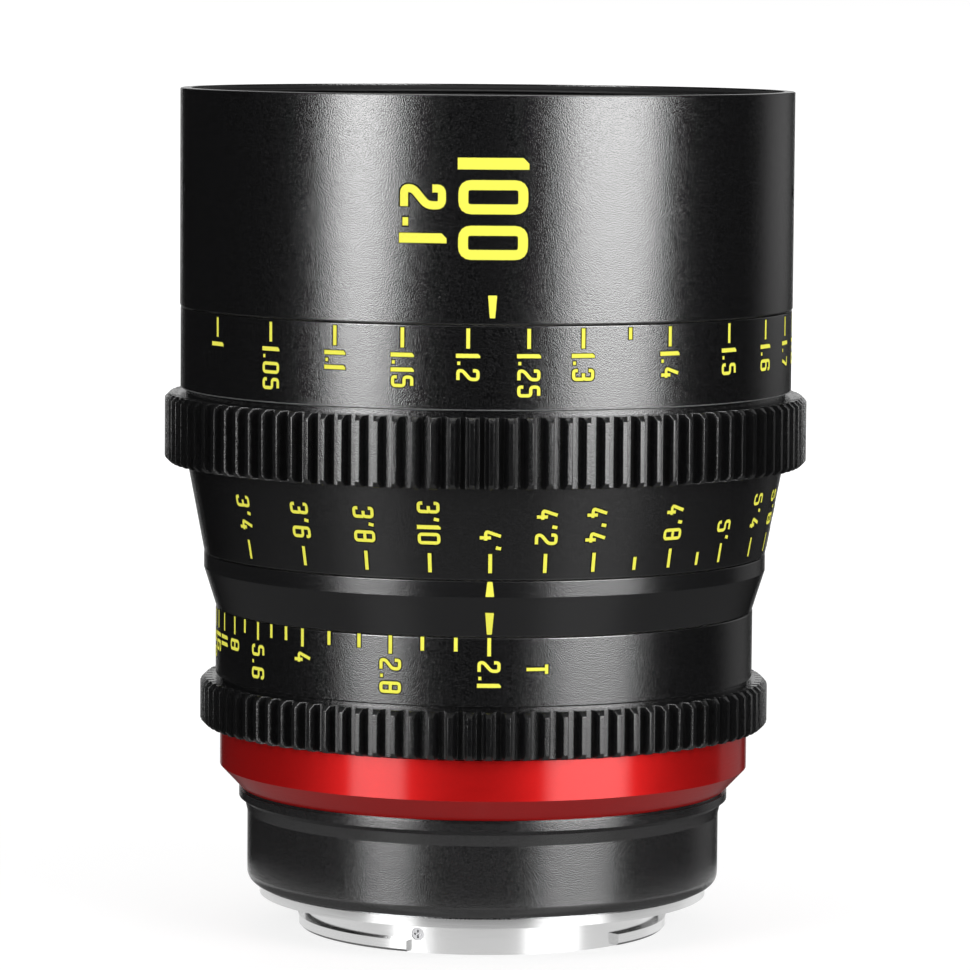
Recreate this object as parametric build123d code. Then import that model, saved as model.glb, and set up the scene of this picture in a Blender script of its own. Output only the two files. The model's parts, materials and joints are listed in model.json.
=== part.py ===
from build123d import *
import os
from math import asin, atan2, cos, degrees, hypot, radians, sin, sqrt

# Cinema prime lens, standing on its bayonet with the front up.
# Millimetres, lens axis on Z, mounting face of the flange at height zero, index line towards -Y.
# Radii are built outwards and inwards from the bore of the main tube by named walls and steps.

# Shared fits
running_gap = 0.05          # radial play of a ring, slide or pin that moves on its seat
axial_gap = 0.10            # end play between a moving ring and the face beside it
joint_gap = 0.15            # the dark line between two outer rings
free_gap = 0.40             # room between moving parts that never guide each other
overrun = 1.0               # how far a cutting body runs past the face it cuts

# Main tube
slide_bore_radius = 33.05
tube_wall = 2.45
tail_step = 3.55            # from the slide bore in to the bore of the tail
tail_wall = 2.0
tail_shoulder_rise = 1.7    # from the tail's outside to the shoulder under the red ring
tail_bore_step_height = 1.6
tube_spigot_height = 1.05
slot_count = 3
slot_turn = 30.0

# Bayonet mount
spigot_step = 4.0           # from the bore of the rear barrel in to the spigot
spigot_wall = 4.5
spigot_height = 3.25
neck_wall = 2.4
lug_rise = 1.0
lug_thickness = 1.6
lug_edge_chamfer = 0.35
lug_standoff = 0.15         # from the end of the neck to the lug
bayonet_depth = 4.9
flange_thickness = 1.25
relief_depth = 0.35
relief_width = 1.5
lock_pin_radius = 1.3
lock_pin_depth = 0.9
lock_pin_angle = 12.0
lug_spans = ((175.0, 245.5), (315.5, 382.0), (75.0, 135.0))   # start and end of each lug, degrees

# Mount hardware
shim_thickness = 0.20
shim_edge = 0.5
mount_screw_count = 4
mount_screw_radius = 0.85
mount_screw_head_radius = 1.6
mount_screw_length = 4.6
mount_screw_sink = 0.08
mount_screw_turn = 45.0
stop_screw_angle = 248.4
stop_screw_height = 2.3
stop_screw_head_radius = 0.92
stop_screw_shank_radius = 0.6
stop_screw_head_depth = 0.7
stop_screw_sink = 0.12
cross_slot_width = 0.28
cross_slot_depth = 0.35
cross_arm_share = 0.62      # of the head's radius

# Rear baffle
baffle_clearance = 0.3      # from the throat of the mount to the baffle
baffle_ridge_depth = 0.6
baffle_wall = 1.5
baffle_height = 11.4
baffle_end_inset = 0.4
baffle_flange_inset = 0.8
baffle_flange_thickness = 1.2
baffle_ridge_count = 7
baffle_screw_count = 3
baffle_screw_radius = 0.6
baffle_screw_head_radius = 1.1
baffle_screw_head_height = 0.7
baffle_screw_length = 2.4
baffle_screw_turn = 30.0

# Rear barrel
barrel_wall = 2.2
barrel_height = 13.55
barrel_foot_fillet = 1.7
barrel_lip_rise = 1.2
barrel_lip_height = 1.1
barrel_neck_height = 2.2
barrel_ledge_thickness = 4.15
barrel_screw_count = 3
barrel_screw_radius = 0.7
barrel_screw_head_radius = 0.9
barrel_screw_head_height = 1.1
barrel_screw_length = 8.0

# Red ring
red_wall = 2.15
red_height = 8.7
red_bevel_height = 3.1
red_foot_inset = 0.2        # from the barrel's lip to the foot of the bevel
collar_gap = 0.4
collar_land = 1.0           # width of the step that the red ring rests on
red_lip_height = 1.5

# Gear teeth
gear_module = 0.83
gear_tip_chamfer = 0.7
gear_dedendum = 1.0
tip_width_share = 0.12      # half a tooth's width over the pitch, at its tip, pitch line and root
pitch_width_share = 0.24
root_width_share = 0.345

# Iris ring
iris_end_gap = 0.3
iris_gear_width = 6.6
iris_addendum = 0.65
iris_gear_rim = 1.8
iris_wall = 1.65
gear_groove_height = 0.5
gear_groove_rise = 0.4
t_scale_rise = 1.1
t_scale_height = 9.55
t_edge_chamfer = 0.2
iris_travel = 83.0          # degrees from the widest stop to the smallest
drive_pin_count = 3
drive_pin_radius = 1.4
drive_pin_turn = 0.0
drive_pin_height = 11.1     # above the foot of the iris ring
drive_pin_depth = 1.6       # how far a pin enters the iris ring
drive_pin_root = 2.0        # how far a pin enters the drive ring
drive_ring_height = 3.2

# Index ring
index_wall = 4.5
index_foot_inset = 0.05
index_height = 7.75
index_bevel_height = 5.55
index_edge_chamfer = 0.12

# Focusing ring
feet_height = 12.7
feet_bore_gap = 0.6
feet_top_rise = 0.8         # from the gear's seat to the top of the cone
feet_edge_chamfer = 0.15
focus_gear_width = 9.7
focus_addendum = 0.8
focus_gear_rim = 2.2
focus_groove_height = 0.8
focus_groove_rise = 1.0
metre_rise = 1.8
metre_height = 11.5
metre_edge_chamfer = 0.2
sleeve_wall = 2.8
sleeve_tail_length = 4.0
sleeve_tail_wall = 1.8
sleeve_lip_thickness = 1.5
focus_near_travel = 60.0    # degrees from the rest mark to the near stop
focus_far_travel = 243.0    # degrees from the rest mark to infinity
focus_lead = 14.64          # forward travel of the optics for one whole turn

# Focus stop
stop_pin_radius = 1.4
stop_pin_reach = 2.2        # how far the pin stands out of the tube
stop_pin_angle = 285.0
stop_channel_height = 4.2
stop_channel_play = 0.5     # from the end of the pin to the floor of the channel
stop_channel_rise = 2.6     # above the foot of the focusing ring
stop_contact_gap = 0.3

# Slide rings
slide_ring_thickness = 0.80
rear_slide_width = 2.4
front_slide_step = 2.0      # in from the gear's seat
front_slide_width = 1.8
iris_slide_width = 1.4
slide_recess_play = 0.2

# Cam sleeve and followers
cam_groove_depth = 2.3
cam_floor_wall = 0.95
groove_end_relief = 0.10
cam_screw_count = 4
cam_screw_radius = 0.7
cam_screw_head_radius = 1.05
cam_screw_head_height = 0.9
cam_screw_length = 4.5
cam_screw_turn = 45.0
roller_radius = 1.5
roller_end_gap = 0.4
roller_lift = 0.1
follower_shank_radius = 0.8
follower_head_radius = 1.15
follower_head_height = 0.6
follower_head_play = 0.2    # under the floor of the groove

# Front barrel
front_rise = 0.1            # over the metre scale
front_height = 30.65
front_rim_chamfer = 0.15
front_foot_chamfer = 0.15
front_wall = 1.55
front_web_thickness = 4.05
front_web_clearance = 0.45  # round the sliding optics
front_step_wall = 3.0
front_step_height = 13.05   # from the foot of the barrel to the seat of the filter ring
web_screw_count = 6
web_screw_radius = 0.6
web_screw_head_radius = 0.75
web_screw_head_height = 0.8
web_screw_length = 5.6
web_screw_turn = 0.0

# Filter ring
filter_wall = 0.95          # behind the 82 mm thread
filter_thread_depth = 5.5
filter_rim_drop = 0.2
filter_land = 1.25          # from the thread in to the bore
filter_ridge_count = 6
filter_ridge_depth = 0.45
filter_lead_chamfer = 0.35
set_screw_drop = 14.0       # from the front rim down to the set screws
set_screw_radius = 1.0
set_screw_sink = 0.3
set_screw_root = 1.0        # how far a set screw enters the filter ring
set_screw_socket_radius = 0.5
set_screw_socket_depth = 0.7
set_screw_angles = (-11.0, 191.0)

# Optics barrel, measured from the height of the follower rollers
optics_wall = 1.5
optics_tail = 15.8
optics_shoulder_drop = 2.3
optics_shoulder_thickness = 2.0
optics_shoulder_width = 4.0

# Front cell and glass
front_ledge_width = 2.5
front_ledge_thickness = 1.5
front_cell_wall = 3.45
pair_step = 3.55            # from the first element's seat in to the bonded pair's
first_seat_drop = 5.7       # from the top of the cell to the seat of the first element
trim_bore_step = 0.85
trim_clearance = 0.45       # from the trim ring to the filter ring's bore
trim_ring_height = 1.8
trim_ridge_count = 5
trim_ridge_depth = 0.3
trim_ridge_pitch = 1.6
trim_lip_rise = 0.3
retainer_drop = 0.15
retainer_wall = 1.3
spacer_wall = 1.4

first_front_curve = 75.0
first_rear_curve = 600.0
first_edge_height = 2.08    # of the cylinder that stands in the cell
first_edge_width = 1.55     # flat land round each polished surface
first_air_gap = 0.43
second_front_curve = 45.0
second_edge_width = 1.5
second_edge_height = 5.2
front_bond_curve = 120.0
third_rear_curve = 28.0
third_edge_width = 6.5
third_thickness = 2.5       # on the axis

# Iris
iris_plate_thickness = 1.5
iris_opening_gap = 0.2      # from the blades' inner edge to the opening
iris_cup_wall = 0.92
iris_blade_count = 9
blade_thickness = 0.10
blade_pitch = 0.14
blade_top_gap = 0.10
blade_band_width = 7.5
blade_span = 104.0
blade_heel = 6.0
blade_lobe_radius = 1.3
blade_lug_radius = 0.95
blade_pivot_step = 4.38     # in from the wall of the cup
blade_pivot_inset = 1.0     # from the pivots in to the blades' outer edge
blade_pivot_radius = 0.5
blade_pivot_depth = 1.1
blade_arm = 5.0
blade_arm_angle = 55.0
blade_pin_radius = 0.35
smallest_stop_radius = 1.75
blade_to_cam_gap = 0.30
cam_ring_thickness = 1.0
cam_ring_width = 12.03
cam_slot_steps = 12
iris_cover_thickness = 1.8
iris_cover_width = 11.08
lever_step = 2.48           # from the cup's wall in to the middle of the lever
lever_thickness = 1.6
lever_width = 3.0
lever_length = 37.4
lever_turn = 40.0
lever_window_play = 0.35

# Rear cell and glass
rear_cell_gap = 1.8         # from the lever in to the rear cell
rear_cell_wall = 5.45
rear_ledge_thickness = 3.6
rear_ledge_width = 3.55
fourth_front_curve = 28.0
fourth_thickness = 2.5
rear_bond_curve = 120.0
fifth_thickness = 9.5
fifth_rear_curve = 42.0
fifth_edge_width = 1.25
sixth_front_curve = 90.0
sixth_rear_curve = 80.0
sixth_edge_height = 1.77
sixth_gap = 0.5
rear_retainer_height = 3.5
rear_retainer_inset = 0.2
rear_retainer_wall = 1.15

# Radii of the tube and what it carries
tube_radius = slide_bore_radius + tube_wall
tail_bore_radius = slide_bore_radius - tail_step
barrel_bore_radius = tail_bore_radius + tail_wall
tail_shoulder_radius = barrel_bore_radius + tail_shoulder_rise
ring_bore_radius = tube_radius + running_gap
slide_radius = slide_bore_radius - running_gap
optics_bore_radius = slide_radius - optics_wall
slot_half_width = roller_radius + running_gap

# Radii of the mount and the rear
spigot_radius = barrel_bore_radius - spigot_step
throat_radius = spigot_radius - spigot_wall
neck_radius = throat_radius + neck_wall
lug_radius = neck_radius + lug_rise
barrel_radius = barrel_bore_radius + barrel_wall
flange_radius = barrel_radius - barrel_foot_fillet
barrel_lip_radius = barrel_radius + barrel_lip_rise
lock_pin_circle = (neck_radius + relief_width + flange_radius) / 2
mount_screw_circle = (neck_radius + relief_width + flange_radius) / 2
barrel_screw_circle = (tail_bore_radius + barrel_bore_radius) / 2
baffle_radius = throat_radius - baffle_clearance
baffle_bore_radius = baffle_radius - baffle_wall - baffle_ridge_depth
baffle_flange_radius = spigot_radius - baffle_flange_inset
baffle_screw_circle = (baffle_radius + baffle_flange_radius) / 2
red_radius = tube_radius + red_wall
red_foot_radius = barrel_lip_radius - red_foot_inset

# Radii of the turning rings, and the number of teeth that fits their seats
iris_seat_radius = ring_bore_radius + iris_wall
gear_groove_radius = iris_seat_radius + gear_groove_rise
t_scale_radius = iris_seat_radius + t_scale_rise
iris_gear_teeth = round(2 * (iris_seat_radius + iris_gear_rim + gear_dedendum) / gear_module)
cam_groove_radius = ring_bore_radius + cam_groove_depth
cam_sleeve_radius = cam_groove_radius + cam_floor_wall
cam_screw_circle = (ring_bore_radius + cam_sleeve_radius) / 2
focus_seat_radius = cam_sleeve_radius + sleeve_wall
sleeve_tail_radius = cam_sleeve_radius + sleeve_tail_wall
focus_groove_radius = focus_seat_radius + focus_groove_rise
metre_radius = focus_seat_radius + metre_rise
focus_gear_teeth = round(2 * (focus_seat_radius + focus_gear_rim + gear_dedendum) / gear_module)
index_radius = tube_radius + index_wall
index_foot_radius = t_scale_radius - index_foot_inset
feet_top_radius = focus_seat_radius + feet_top_rise
feet_foot_radius = index_radius
feet_bore_radius = tube_radius + feet_bore_gap
stop_channel_radius = tube_radius + stop_pin_reach + stop_channel_play
front_slide_radius = focus_seat_radius - front_slide_step
roller_end_radius = cam_groove_radius - roller_end_gap

# Radii of the front
front_radius = metre_radius + front_rise
front_inner_radius = front_radius - front_wall
front_step_radius = front_radius - front_step_wall
front_web_bore_radius = slide_bore_radius + front_web_clearance
web_screw_circle = (front_web_bore_radius + tube_radius) / 2
filter_thread_radius = front_inner_radius - filter_wall
filter_bore_radius = filter_thread_radius - filter_land
trim_ring_radius = filter_bore_radius - trim_clearance

# Radii of the optics
optics_shoulder_bore = optics_bore_radius - optics_shoulder_width
first_seat_radius = optics_bore_radius - front_cell_wall
first_clear_radius = first_seat_radius - first_edge_width
rear_pair_radius = first_seat_radius - pair_step
second_clear_radius = rear_pair_radius - second_edge_width
third_clear_radius = rear_pair_radius - third_edge_width
front_ledge_radius = rear_pair_radius - front_ledge_width
trim_bore_radius = first_seat_radius - trim_bore_step
iris_cup_radius = optics_bore_radius - iris_cup_wall
cam_ring_radius = iris_cup_radius - running_gap
cam_ring_bore_radius = cam_ring_radius - cam_ring_width
iris_cover_bore_radius = iris_cup_radius - iris_cover_width
blade_pivot_circle = iris_cup_radius - blade_pivot_step
blade_outer_radius = blade_pivot_circle - blade_pivot_inset
blade_inner_radius = blade_outer_radius - blade_band_width
iris_opening_radius = blade_inner_radius + iris_opening_gap
lever_circle = iris_cup_radius - lever_step
drive_ring_bore_radius = lever_circle - rear_cell_gap
rear_cell_radius = lever_circle - lever_thickness / 2 - rear_cell_gap
rear_glass_radius = rear_cell_radius - rear_cell_wall
rear_clear_radius = rear_glass_radius - rear_ledge_width
fifth_clear_radius = rear_glass_radius - fifth_edge_width

# Heights of the outer stack, from the mounting face up
mount_low = -bayonet_depth
barrel_low = flange_thickness + shim_thickness
barrel_high = barrel_low + barrel_height
red_low = barrel_high + collar_gap
red_high = red_low + red_height
iris_low = red_high + iris_end_gap
iris_gear_high = iris_low + iris_gear_width
t_low = iris_gear_high + gear_groove_height
t_high = t_low + t_scale_height
index_low = t_high + joint_gap
index_high = index_low + index_height
focus_low = index_high + joint_gap
cone_high = focus_low + feet_height
focus_gear_high = cone_high + focus_gear_width
metre_low = focus_gear_high + focus_groove_height
focus_high = metre_low + metre_height
front_low = focus_high + joint_gap
front_high = front_low + front_height
web_high = front_low + front_web_thickness
filter_low = front_low + front_step_height
filter_high = front_high - filter_rim_drop

# Heights inside
tail_low = barrel_low + barrel_ledge_thickness
red_shoulder = red_high - red_lip_height
sleeve_low = cone_high - sleeve_tail_length
lip_low = focus_high - sleeve_lip_thickness
cam_low = cone_high
near_rise = focus_lead * focus_near_travel / 360
far_drop = focus_lead * focus_far_travel / 360
follower_level = (cam_low + lip_low) / 2 + (far_drop - near_rise) / 2
drive_pin_level = iris_low + drive_pin_height
tube_high = front_low + tube_spigot_height
shoulder_high = follower_level - optics_shoulder_drop
shoulder_low = shoulder_high - optics_shoulder_thickness
optics_low = follower_level - optics_tail
plate_low = shoulder_low - iris_plate_thickness
blades_low = plate_low - blade_top_gap - blade_pitch * (iris_blade_count - 1) - blade_thickness
cam_ring_high = blades_low - blade_to_cam_gap
cam_ring_low = cam_ring_high - cam_ring_thickness
cover_high = cam_ring_low - axial_gap
cover_low = cover_high - iris_cover_thickness

# Iris motion: a blade swings so that its inner edge leaves the open circle for the smallest stop
blade_shift = blade_inner_radius - smallest_stop_radius
blade_swing = 2 * degrees(asin(blade_shift / (2 * blade_pivot_circle)))


def face_of(points):
    """Flat face in the XZ plane through (radius, height) points."""
    return make_face(Polyline(*[(r, 0, z) for r, z in points], close=True))


def turned(points, start=0.0, arc=360.0):
    """Solid of revolution about the lens axis."""
    return Rot(0, 0, start) * revolve(face_of(points), axis=Axis.Z, revolution_arc=arc)


def ring(inner, outer, low, high):
    return turned([(inner, low), (outer, low), (outer, high), (inner, high)])


def sector(inner, outer, low, high, start, end):
    """Part of a ring between two angles."""
    return turned([(inner, low), (outer, low), (outer, high), (inner, high)], start, end - start)


def post(radius, circle, angle, low, high):
    """Round bar parallel to the axis."""
    bar = Cylinder(radius, high - low, align=(Align.CENTER, Align.CENTER, Align.MIN))
    return Rot(0, 0, angle) * Pos(circle, 0, low) * bar


def spoke(radius, inner, outer, angle, height):
    """Round bar that points away from the axis."""
    bar = Cylinder(radius, outer - inner, align=(Align.CENTER, Align.CENTER, Align.MIN))
    return Rot(0, 0, angle) * Pos(inner, 0, height) * Rot(0, 90, 0) * bar


def spread(count, turn=0.0):
    """Evenly spaced angles."""
    return [turn + 360 * i / count for i in range(count)]


def polar(radius, angle):
    return radius * cos(radians(angle)), radius * sin(radians(angle))


def group(solids):
    """Several separate solids kept together as one node."""
    return Compound(children=list(solids))


def cross_slots(radius):
    """Cross-shaped cutter, centred at the origin and as deep as the slots."""
    arm = 2 * radius * cross_arm_share
    bar = Box(arm, cross_slot_width, 2 * cross_slot_depth)
    return bar + Rot(0, 0, 90) * bar


def sunk_screw(radius, head_radius, length, sink):
    """Countersunk screw along +Z, its head at height zero and its tip up."""
    cone = head_radius - radius
    body = turned([
        (0, sink), (head_radius, sink), (radius, sink + cone),
        (radius, sink + length), (0, sink + length)])
    return body - Pos(0, 0, sink) * cross_slots(head_radius)


def cap_screw(radius, head_radius, head_height, length):
    """Cheese-head screw along +Z, its head's top at height zero and its tip up."""
    body = turned([
        (0, 0), (head_radius, 0), (head_radius, head_height),
        (radius, head_height), (radius, length), (0, length)])
    return body - cross_slots(head_radius)


def sag(curve, radius):
    """Depth of a spherical surface at a radius."""
    return curve - sqrt(curve * curve - radius * radius)


def glass_face(curve, clear, edge, vertex, bulge):
    """Half outline of one polished surface and its flat edge, from the axis outwards.

    bulge is 1 when the surface stands towards the front, -1 towards the rear, and vertex is its height
    on the axis. Returns the edges and the height of the flat edge.
    """
    rim = vertex - bulge * sag(curve, clear)
    middle = clear / 2
    arc = ThreePointArc(
        (0, 0, vertex), (middle, 0, vertex - bulge * sag(curve, middle)), (clear, 0, rim))
    if edge > clear:
        return [arc, Line((clear, 0, rim), (edge, 0, rim))], rim
    return [arc], rim


def element(front, rear, edge):
    """Glass element from two surfaces, each (curve, clear radius, vertex height, bulge)."""
    front_edges, front_rim = glass_face(front[0], front[1], edge, front[2], front[3])
    rear_edges, rear_rim = glass_face(rear[0], rear[1], edge, rear[2], rear[3])
    side = Line((edge, 0, rear_rim), (edge, 0, front_rim))
    axis_line = Line((0, 0, rear[2]), (0, 0, front[2]))
    return revolve(make_face(front_edges + rear_edges + [side, axis_line]), axis=Axis.Z)


def gear(teeth, addendum, seat_radius, low, high):
    """Spur gear ring with chamfered tooth ends."""
    pitch_radius = gear_module * teeth / 2
    root_radius = pitch_radius - gear_dedendum
    tip_radius = pitch_radius + addendum
    step = 360 / teeth
    outline = []
    for i in range(teeth):
        middle = i * step
        outline.append(polar(root_radius, middle - root_width_share * step))
        outline.append(polar(pitch_radius, middle - pitch_width_share * step))
        outline.append(polar(tip_radius, middle - tip_width_share * step))
        outline.append(polar(tip_radius, middle + tip_width_share * step))
        outline.append(polar(pitch_radius, middle + pitch_width_share * step))
        outline.append(polar(root_radius, middle + root_width_share * step))
    blank = Pos(0, 0, low) * extrude(make_face(Polyline(*outline, close=True)), high - low)
    envelope = turned([
        (seat_radius, low), (tip_radius - gear_tip_chamfer, low),
        (tip_radius, low + gear_tip_chamfer), (tip_radius, high - gear_tip_chamfer),
        (tip_radius - gear_tip_chamfer, high), (seat_radius, high)])
    return blank & envelope


def ridged_bore(bore, low, high, count, depth):
    """Saw-tooth points up a bore, to be joined to an outer wall."""
    step = (high - low) / count
    points = []
    for i in range(count):
        points.append((bore, low + i * step))
        points.append((bore + depth, low + (i + 1) * step))
    points.append((bore, high))
    return points


def make_bayonet_mount():
    body = turned([
        (throat_radius, mount_low), (neck_radius, mount_low), (neck_radius, relief_depth),
        (neck_radius + relief_width, relief_depth), (neck_radius + relief_width, 0), (flange_radius, 0),
        (flange_radius, flange_thickness), (spigot_radius, flange_thickness),
        (spigot_radius, flange_thickness + spigot_height), (throat_radius, flange_thickness + spigot_height)])
    lug_low = mount_low + lug_standoff
    for start, end in lug_spans:
        body += turned([
            (neck_radius - overrun, lug_low), (lug_radius - lug_edge_chamfer, lug_low),
            (lug_radius, lug_low + lug_edge_chamfer), (lug_radius, lug_low + lug_thickness),
            (neck_radius - overrun, lug_low + lug_thickness)], start, end - start)
    for angle in spread(mount_screw_count, mount_screw_turn):
        body -= post(mount_screw_radius, mount_screw_circle, angle, -overrun, flange_thickness + overrun)
        cone = mount_screw_head_radius - mount_screw_radius
        sink = turned([
            (0, -overrun), (mount_screw_head_radius, -overrun), (mount_screw_head_radius, mount_screw_sink),
            (mount_screw_radius, mount_screw_sink + cone), (0, mount_screw_sink + cone)])
        body -= Rot(0, 0, angle) * Pos(mount_screw_circle, 0, 0) * sink
    body -= post(lock_pin_radius, lock_pin_circle, lock_pin_angle, -overrun, lock_pin_depth)
    stop_level = -stop_screw_height
    body -= spoke(stop_screw_shank_radius, throat_radius - overrun, neck_radius, stop_screw_angle, stop_level)
    body -= spoke(
        stop_screw_head_radius, neck_radius - stop_screw_head_depth - stop_screw_sink,
        neck_radius + overrun, stop_screw_angle, stop_level)
    flange_top = flange_thickness + spigot_height
    for angle in spread(baffle_screw_count, baffle_screw_turn):
        body -= post(
            baffle_screw_radius, baffle_screw_circle, angle, flange_top - baffle_screw_length,
            flange_top + overrun)
    return body


def make_mount_screws():
    screw = sunk_screw(mount_screw_radius, mount_screw_head_radius, mount_screw_length, mount_screw_sink)
    return group(
        Rot(0, 0, angle) * Pos(mount_screw_circle, 0, 0) * screw
        for angle in spread(mount_screw_count, mount_screw_turn))


def make_stop_screw():
    head_outer = neck_radius - stop_screw_sink
    head_inner = head_outer - stop_screw_head_depth
    level = -stop_screw_height
    screw = spoke(stop_screw_head_radius, head_inner, head_outer, 0, level)
    screw += spoke(stop_screw_shank_radius, throat_radius + stop_screw_sink, head_inner, 0, level)
    screw -= Pos(head_outer, 0, level) * Rot(0, 90, 0) * cross_slots(stop_screw_head_radius)
    return Rot(0, 0, stop_screw_angle) * screw


def make_mount_shim():
    shim = ring(spigot_radius, flange_radius - shim_edge, flange_thickness, barrel_low)
    for angle in spread(mount_screw_count, mount_screw_turn):
        shim -= post(mount_screw_radius, mount_screw_circle, angle, 0, barrel_low + overrun)
    return shim


def make_rear_baffle():
    low = mount_low + baffle_end_inset
    seat = flange_thickness + spigot_height
    high = seat + baffle_height - baffle_end_inset
    outer = baffle_radius
    points = ridged_bore(baffle_bore_radius, low, high, baffle_ridge_count, baffle_ridge_depth)
    body = turned(points + [
        (outer, high), (outer, seat + baffle_flange_thickness),
        (baffle_flange_radius, seat + baffle_flange_thickness), (baffle_flange_radius, seat),
        (outer, seat), (outer, low)])
    for angle in spread(baffle_screw_count, baffle_screw_turn):
        body -= post(
            baffle_screw_radius, baffle_screw_circle, angle, seat - overrun,
            seat + baffle_flange_thickness + overrun)
    return body


def make_baffle_screws():
    top = flange_thickness + spigot_height + baffle_flange_thickness + baffle_screw_head_height
    length = baffle_screw_head_height + baffle_flange_thickness + baffle_screw_length
    screw = cap_screw(baffle_screw_radius, baffle_screw_head_radius, baffle_screw_head_height, length)
    return group(
        Rot(0, 0, angle) * Pos(baffle_screw_circle, 0, top) * Rot(180, 0, 0) * screw
        for angle in spread(baffle_screw_count, baffle_screw_turn))


def make_rear_barrel():
    lip_low = barrel_high - barrel_lip_height
    neck_low = lip_low - barrel_neck_height
    foot = barrel_low + barrel_foot_fillet
    seat = tail_shoulder_radius + collar_land
    corner = (barrel_radius - barrel_foot_fillet, 0, barrel_low)
    corner_middle = (
        barrel_radius - barrel_foot_fillet * (1 - sin(radians(45))), 0,
        foot - barrel_foot_fillet * cos(radians(45)))
    neck_width = barrel_lip_radius - barrel_radius
    neck_middle = (
        barrel_lip_radius - neck_width * sin(radians(45)), 0,
        lip_low - barrel_neck_height * (1 - cos(radians(45))))
    outline = [
        Line((spigot_radius, 0, barrel_low), corner),
        ThreePointArc(corner, corner_middle, (barrel_radius, 0, foot)),
        Line((barrel_radius, 0, foot), (barrel_radius, 0, neck_low)),
        Line((barrel_radius, 0, neck_low), neck_middle),
        Line(neck_middle, (barrel_lip_radius, 0, lip_low)),
        Polyline(
            (barrel_lip_radius, 0, lip_low), (barrel_lip_radius, 0, barrel_high), (seat, 0, barrel_high),
            (seat, 0, red_low), (tail_shoulder_radius, 0, red_low), (tail_shoulder_radius, 0, barrel_high),
            (barrel_bore_radius, 0, barrel_high), (barrel_bore_radius, 0, tail_low),
            (spigot_radius, 0, tail_low), (spigot_radius, 0, barrel_low))]
    body = revolve(make_face(outline), axis=Axis.Z)
    for angle in spread(mount_screw_count, mount_screw_turn):
        body -= post(mount_screw_radius, mount_screw_circle, angle, 0, mount_screw_sink + mount_screw_length)
    for angle in spread(barrel_screw_count):
        body -= post(barrel_screw_radius, barrel_screw_circle, angle, 0, tail_low + overrun)
        body -= post(
            barrel_screw_head_radius, barrel_screw_circle, angle, 0, barrel_low + barrel_screw_head_height)
    return body


def make_barrel_screws():
    screw = cap_screw(
        barrel_screw_radius, barrel_screw_head_radius, barrel_screw_head_height, barrel_screw_length)
    return group(
        Rot(0, 0, angle) * Pos(barrel_screw_circle, 0, barrel_low) * screw
        for angle in spread(barrel_screw_count))


def make_red_ring():
    return turned([
        (tail_shoulder_radius, red_low), (red_foot_radius, red_low),
        (red_radius, red_low + red_bevel_height), (red_radius, red_high),
        (tube_radius, red_high), (tube_radius, red_shoulder), (tail_shoulder_radius, red_shoulder)])


def make_main_tube():
    bore_step = red_shoulder + tail_bore_step_height
    body = turned([
        (tail_bore_radius, tail_low), (barrel_bore_radius, tail_low), (barrel_bore_radius, barrel_high),
        (tail_shoulder_radius, barrel_high), (tail_shoulder_radius, red_shoulder),
        (tube_radius, red_shoulder), (tube_radius, tube_high), (slide_bore_radius, tube_high),
        (slide_bore_radius, bore_step), (tail_bore_radius, bore_step)])
    for angle in spread(slot_count, slot_turn):
        low = follower_level - far_drop
        high = follower_level + near_rise
        window = Rot(0, 0, angle) * Pos(tube_radius, 0, (low + high) / 2) * Box(
            2 * tube_radius - 2 * tail_bore_radius, 2 * slot_half_width, high - low)
        inner = tail_bore_radius
        outer = tube_radius + overrun
        body -= window
        body -= spoke(slot_half_width, inner, outer, angle, low)
        body -= spoke(slot_half_width, inner, outer, angle, high)
    pin_half = drive_pin_radius + running_gap
    for angle in spread(drive_pin_count, drive_pin_turn):
        body -= sector(
            slide_bore_radius - overrun, tube_radius + overrun, drive_pin_level - pin_half,
            drive_pin_level + pin_half, angle, angle + iris_travel)
        for end in (angle, angle + iris_travel):
            body -= spoke(pin_half, tail_bore_radius, tube_radius + overrun, end, drive_pin_level)
    for angle in spread(barrel_screw_count):
        body -= post(barrel_screw_radius, barrel_screw_circle, angle, 0, barrel_low + barrel_screw_length)
    for angle in spread(web_screw_count, web_screw_turn):
        body -= post(
            web_screw_radius, web_screw_circle, angle, web_high - web_screw_length, tube_high + overrun)
    body -= spoke(
        stop_pin_radius, slide_bore_radius - overrun, tube_radius + overrun, stop_pin_angle, stop_pin_level())
    return body


def stop_pin_level():
    return focus_low + stop_channel_rise + stop_channel_height / 2


def make_stop_pin():
    pin = spoke(
        stop_pin_radius, slide_bore_radius, tube_radius + stop_pin_reach, stop_pin_angle, stop_pin_level())
    return pin - ring(0, slide_bore_radius, focus_low, cone_high)


def make_index_ring():
    bevel_high = index_low + index_bevel_height
    return turned([
        (tube_radius, index_low), (index_foot_radius, index_low), (index_radius, bevel_high),
        (index_radius, index_high - index_edge_chamfer), (index_radius - index_edge_chamfer, index_high),
        (tube_radius, index_high)])


def make_rear_slide_ring():
    inner = tube_radius
    return ring(inner, inner + rear_slide_width, index_high, index_high + slide_ring_thickness)


def make_front_slide_ring():
    low = front_low - slide_ring_thickness
    return ring(front_slide_radius, front_slide_radius + front_slide_width, low, front_low)


def make_iris_slide_ring():
    return ring(tube_radius, tube_radius + iris_slide_width, index_low - slide_ring_thickness, index_low)


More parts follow.
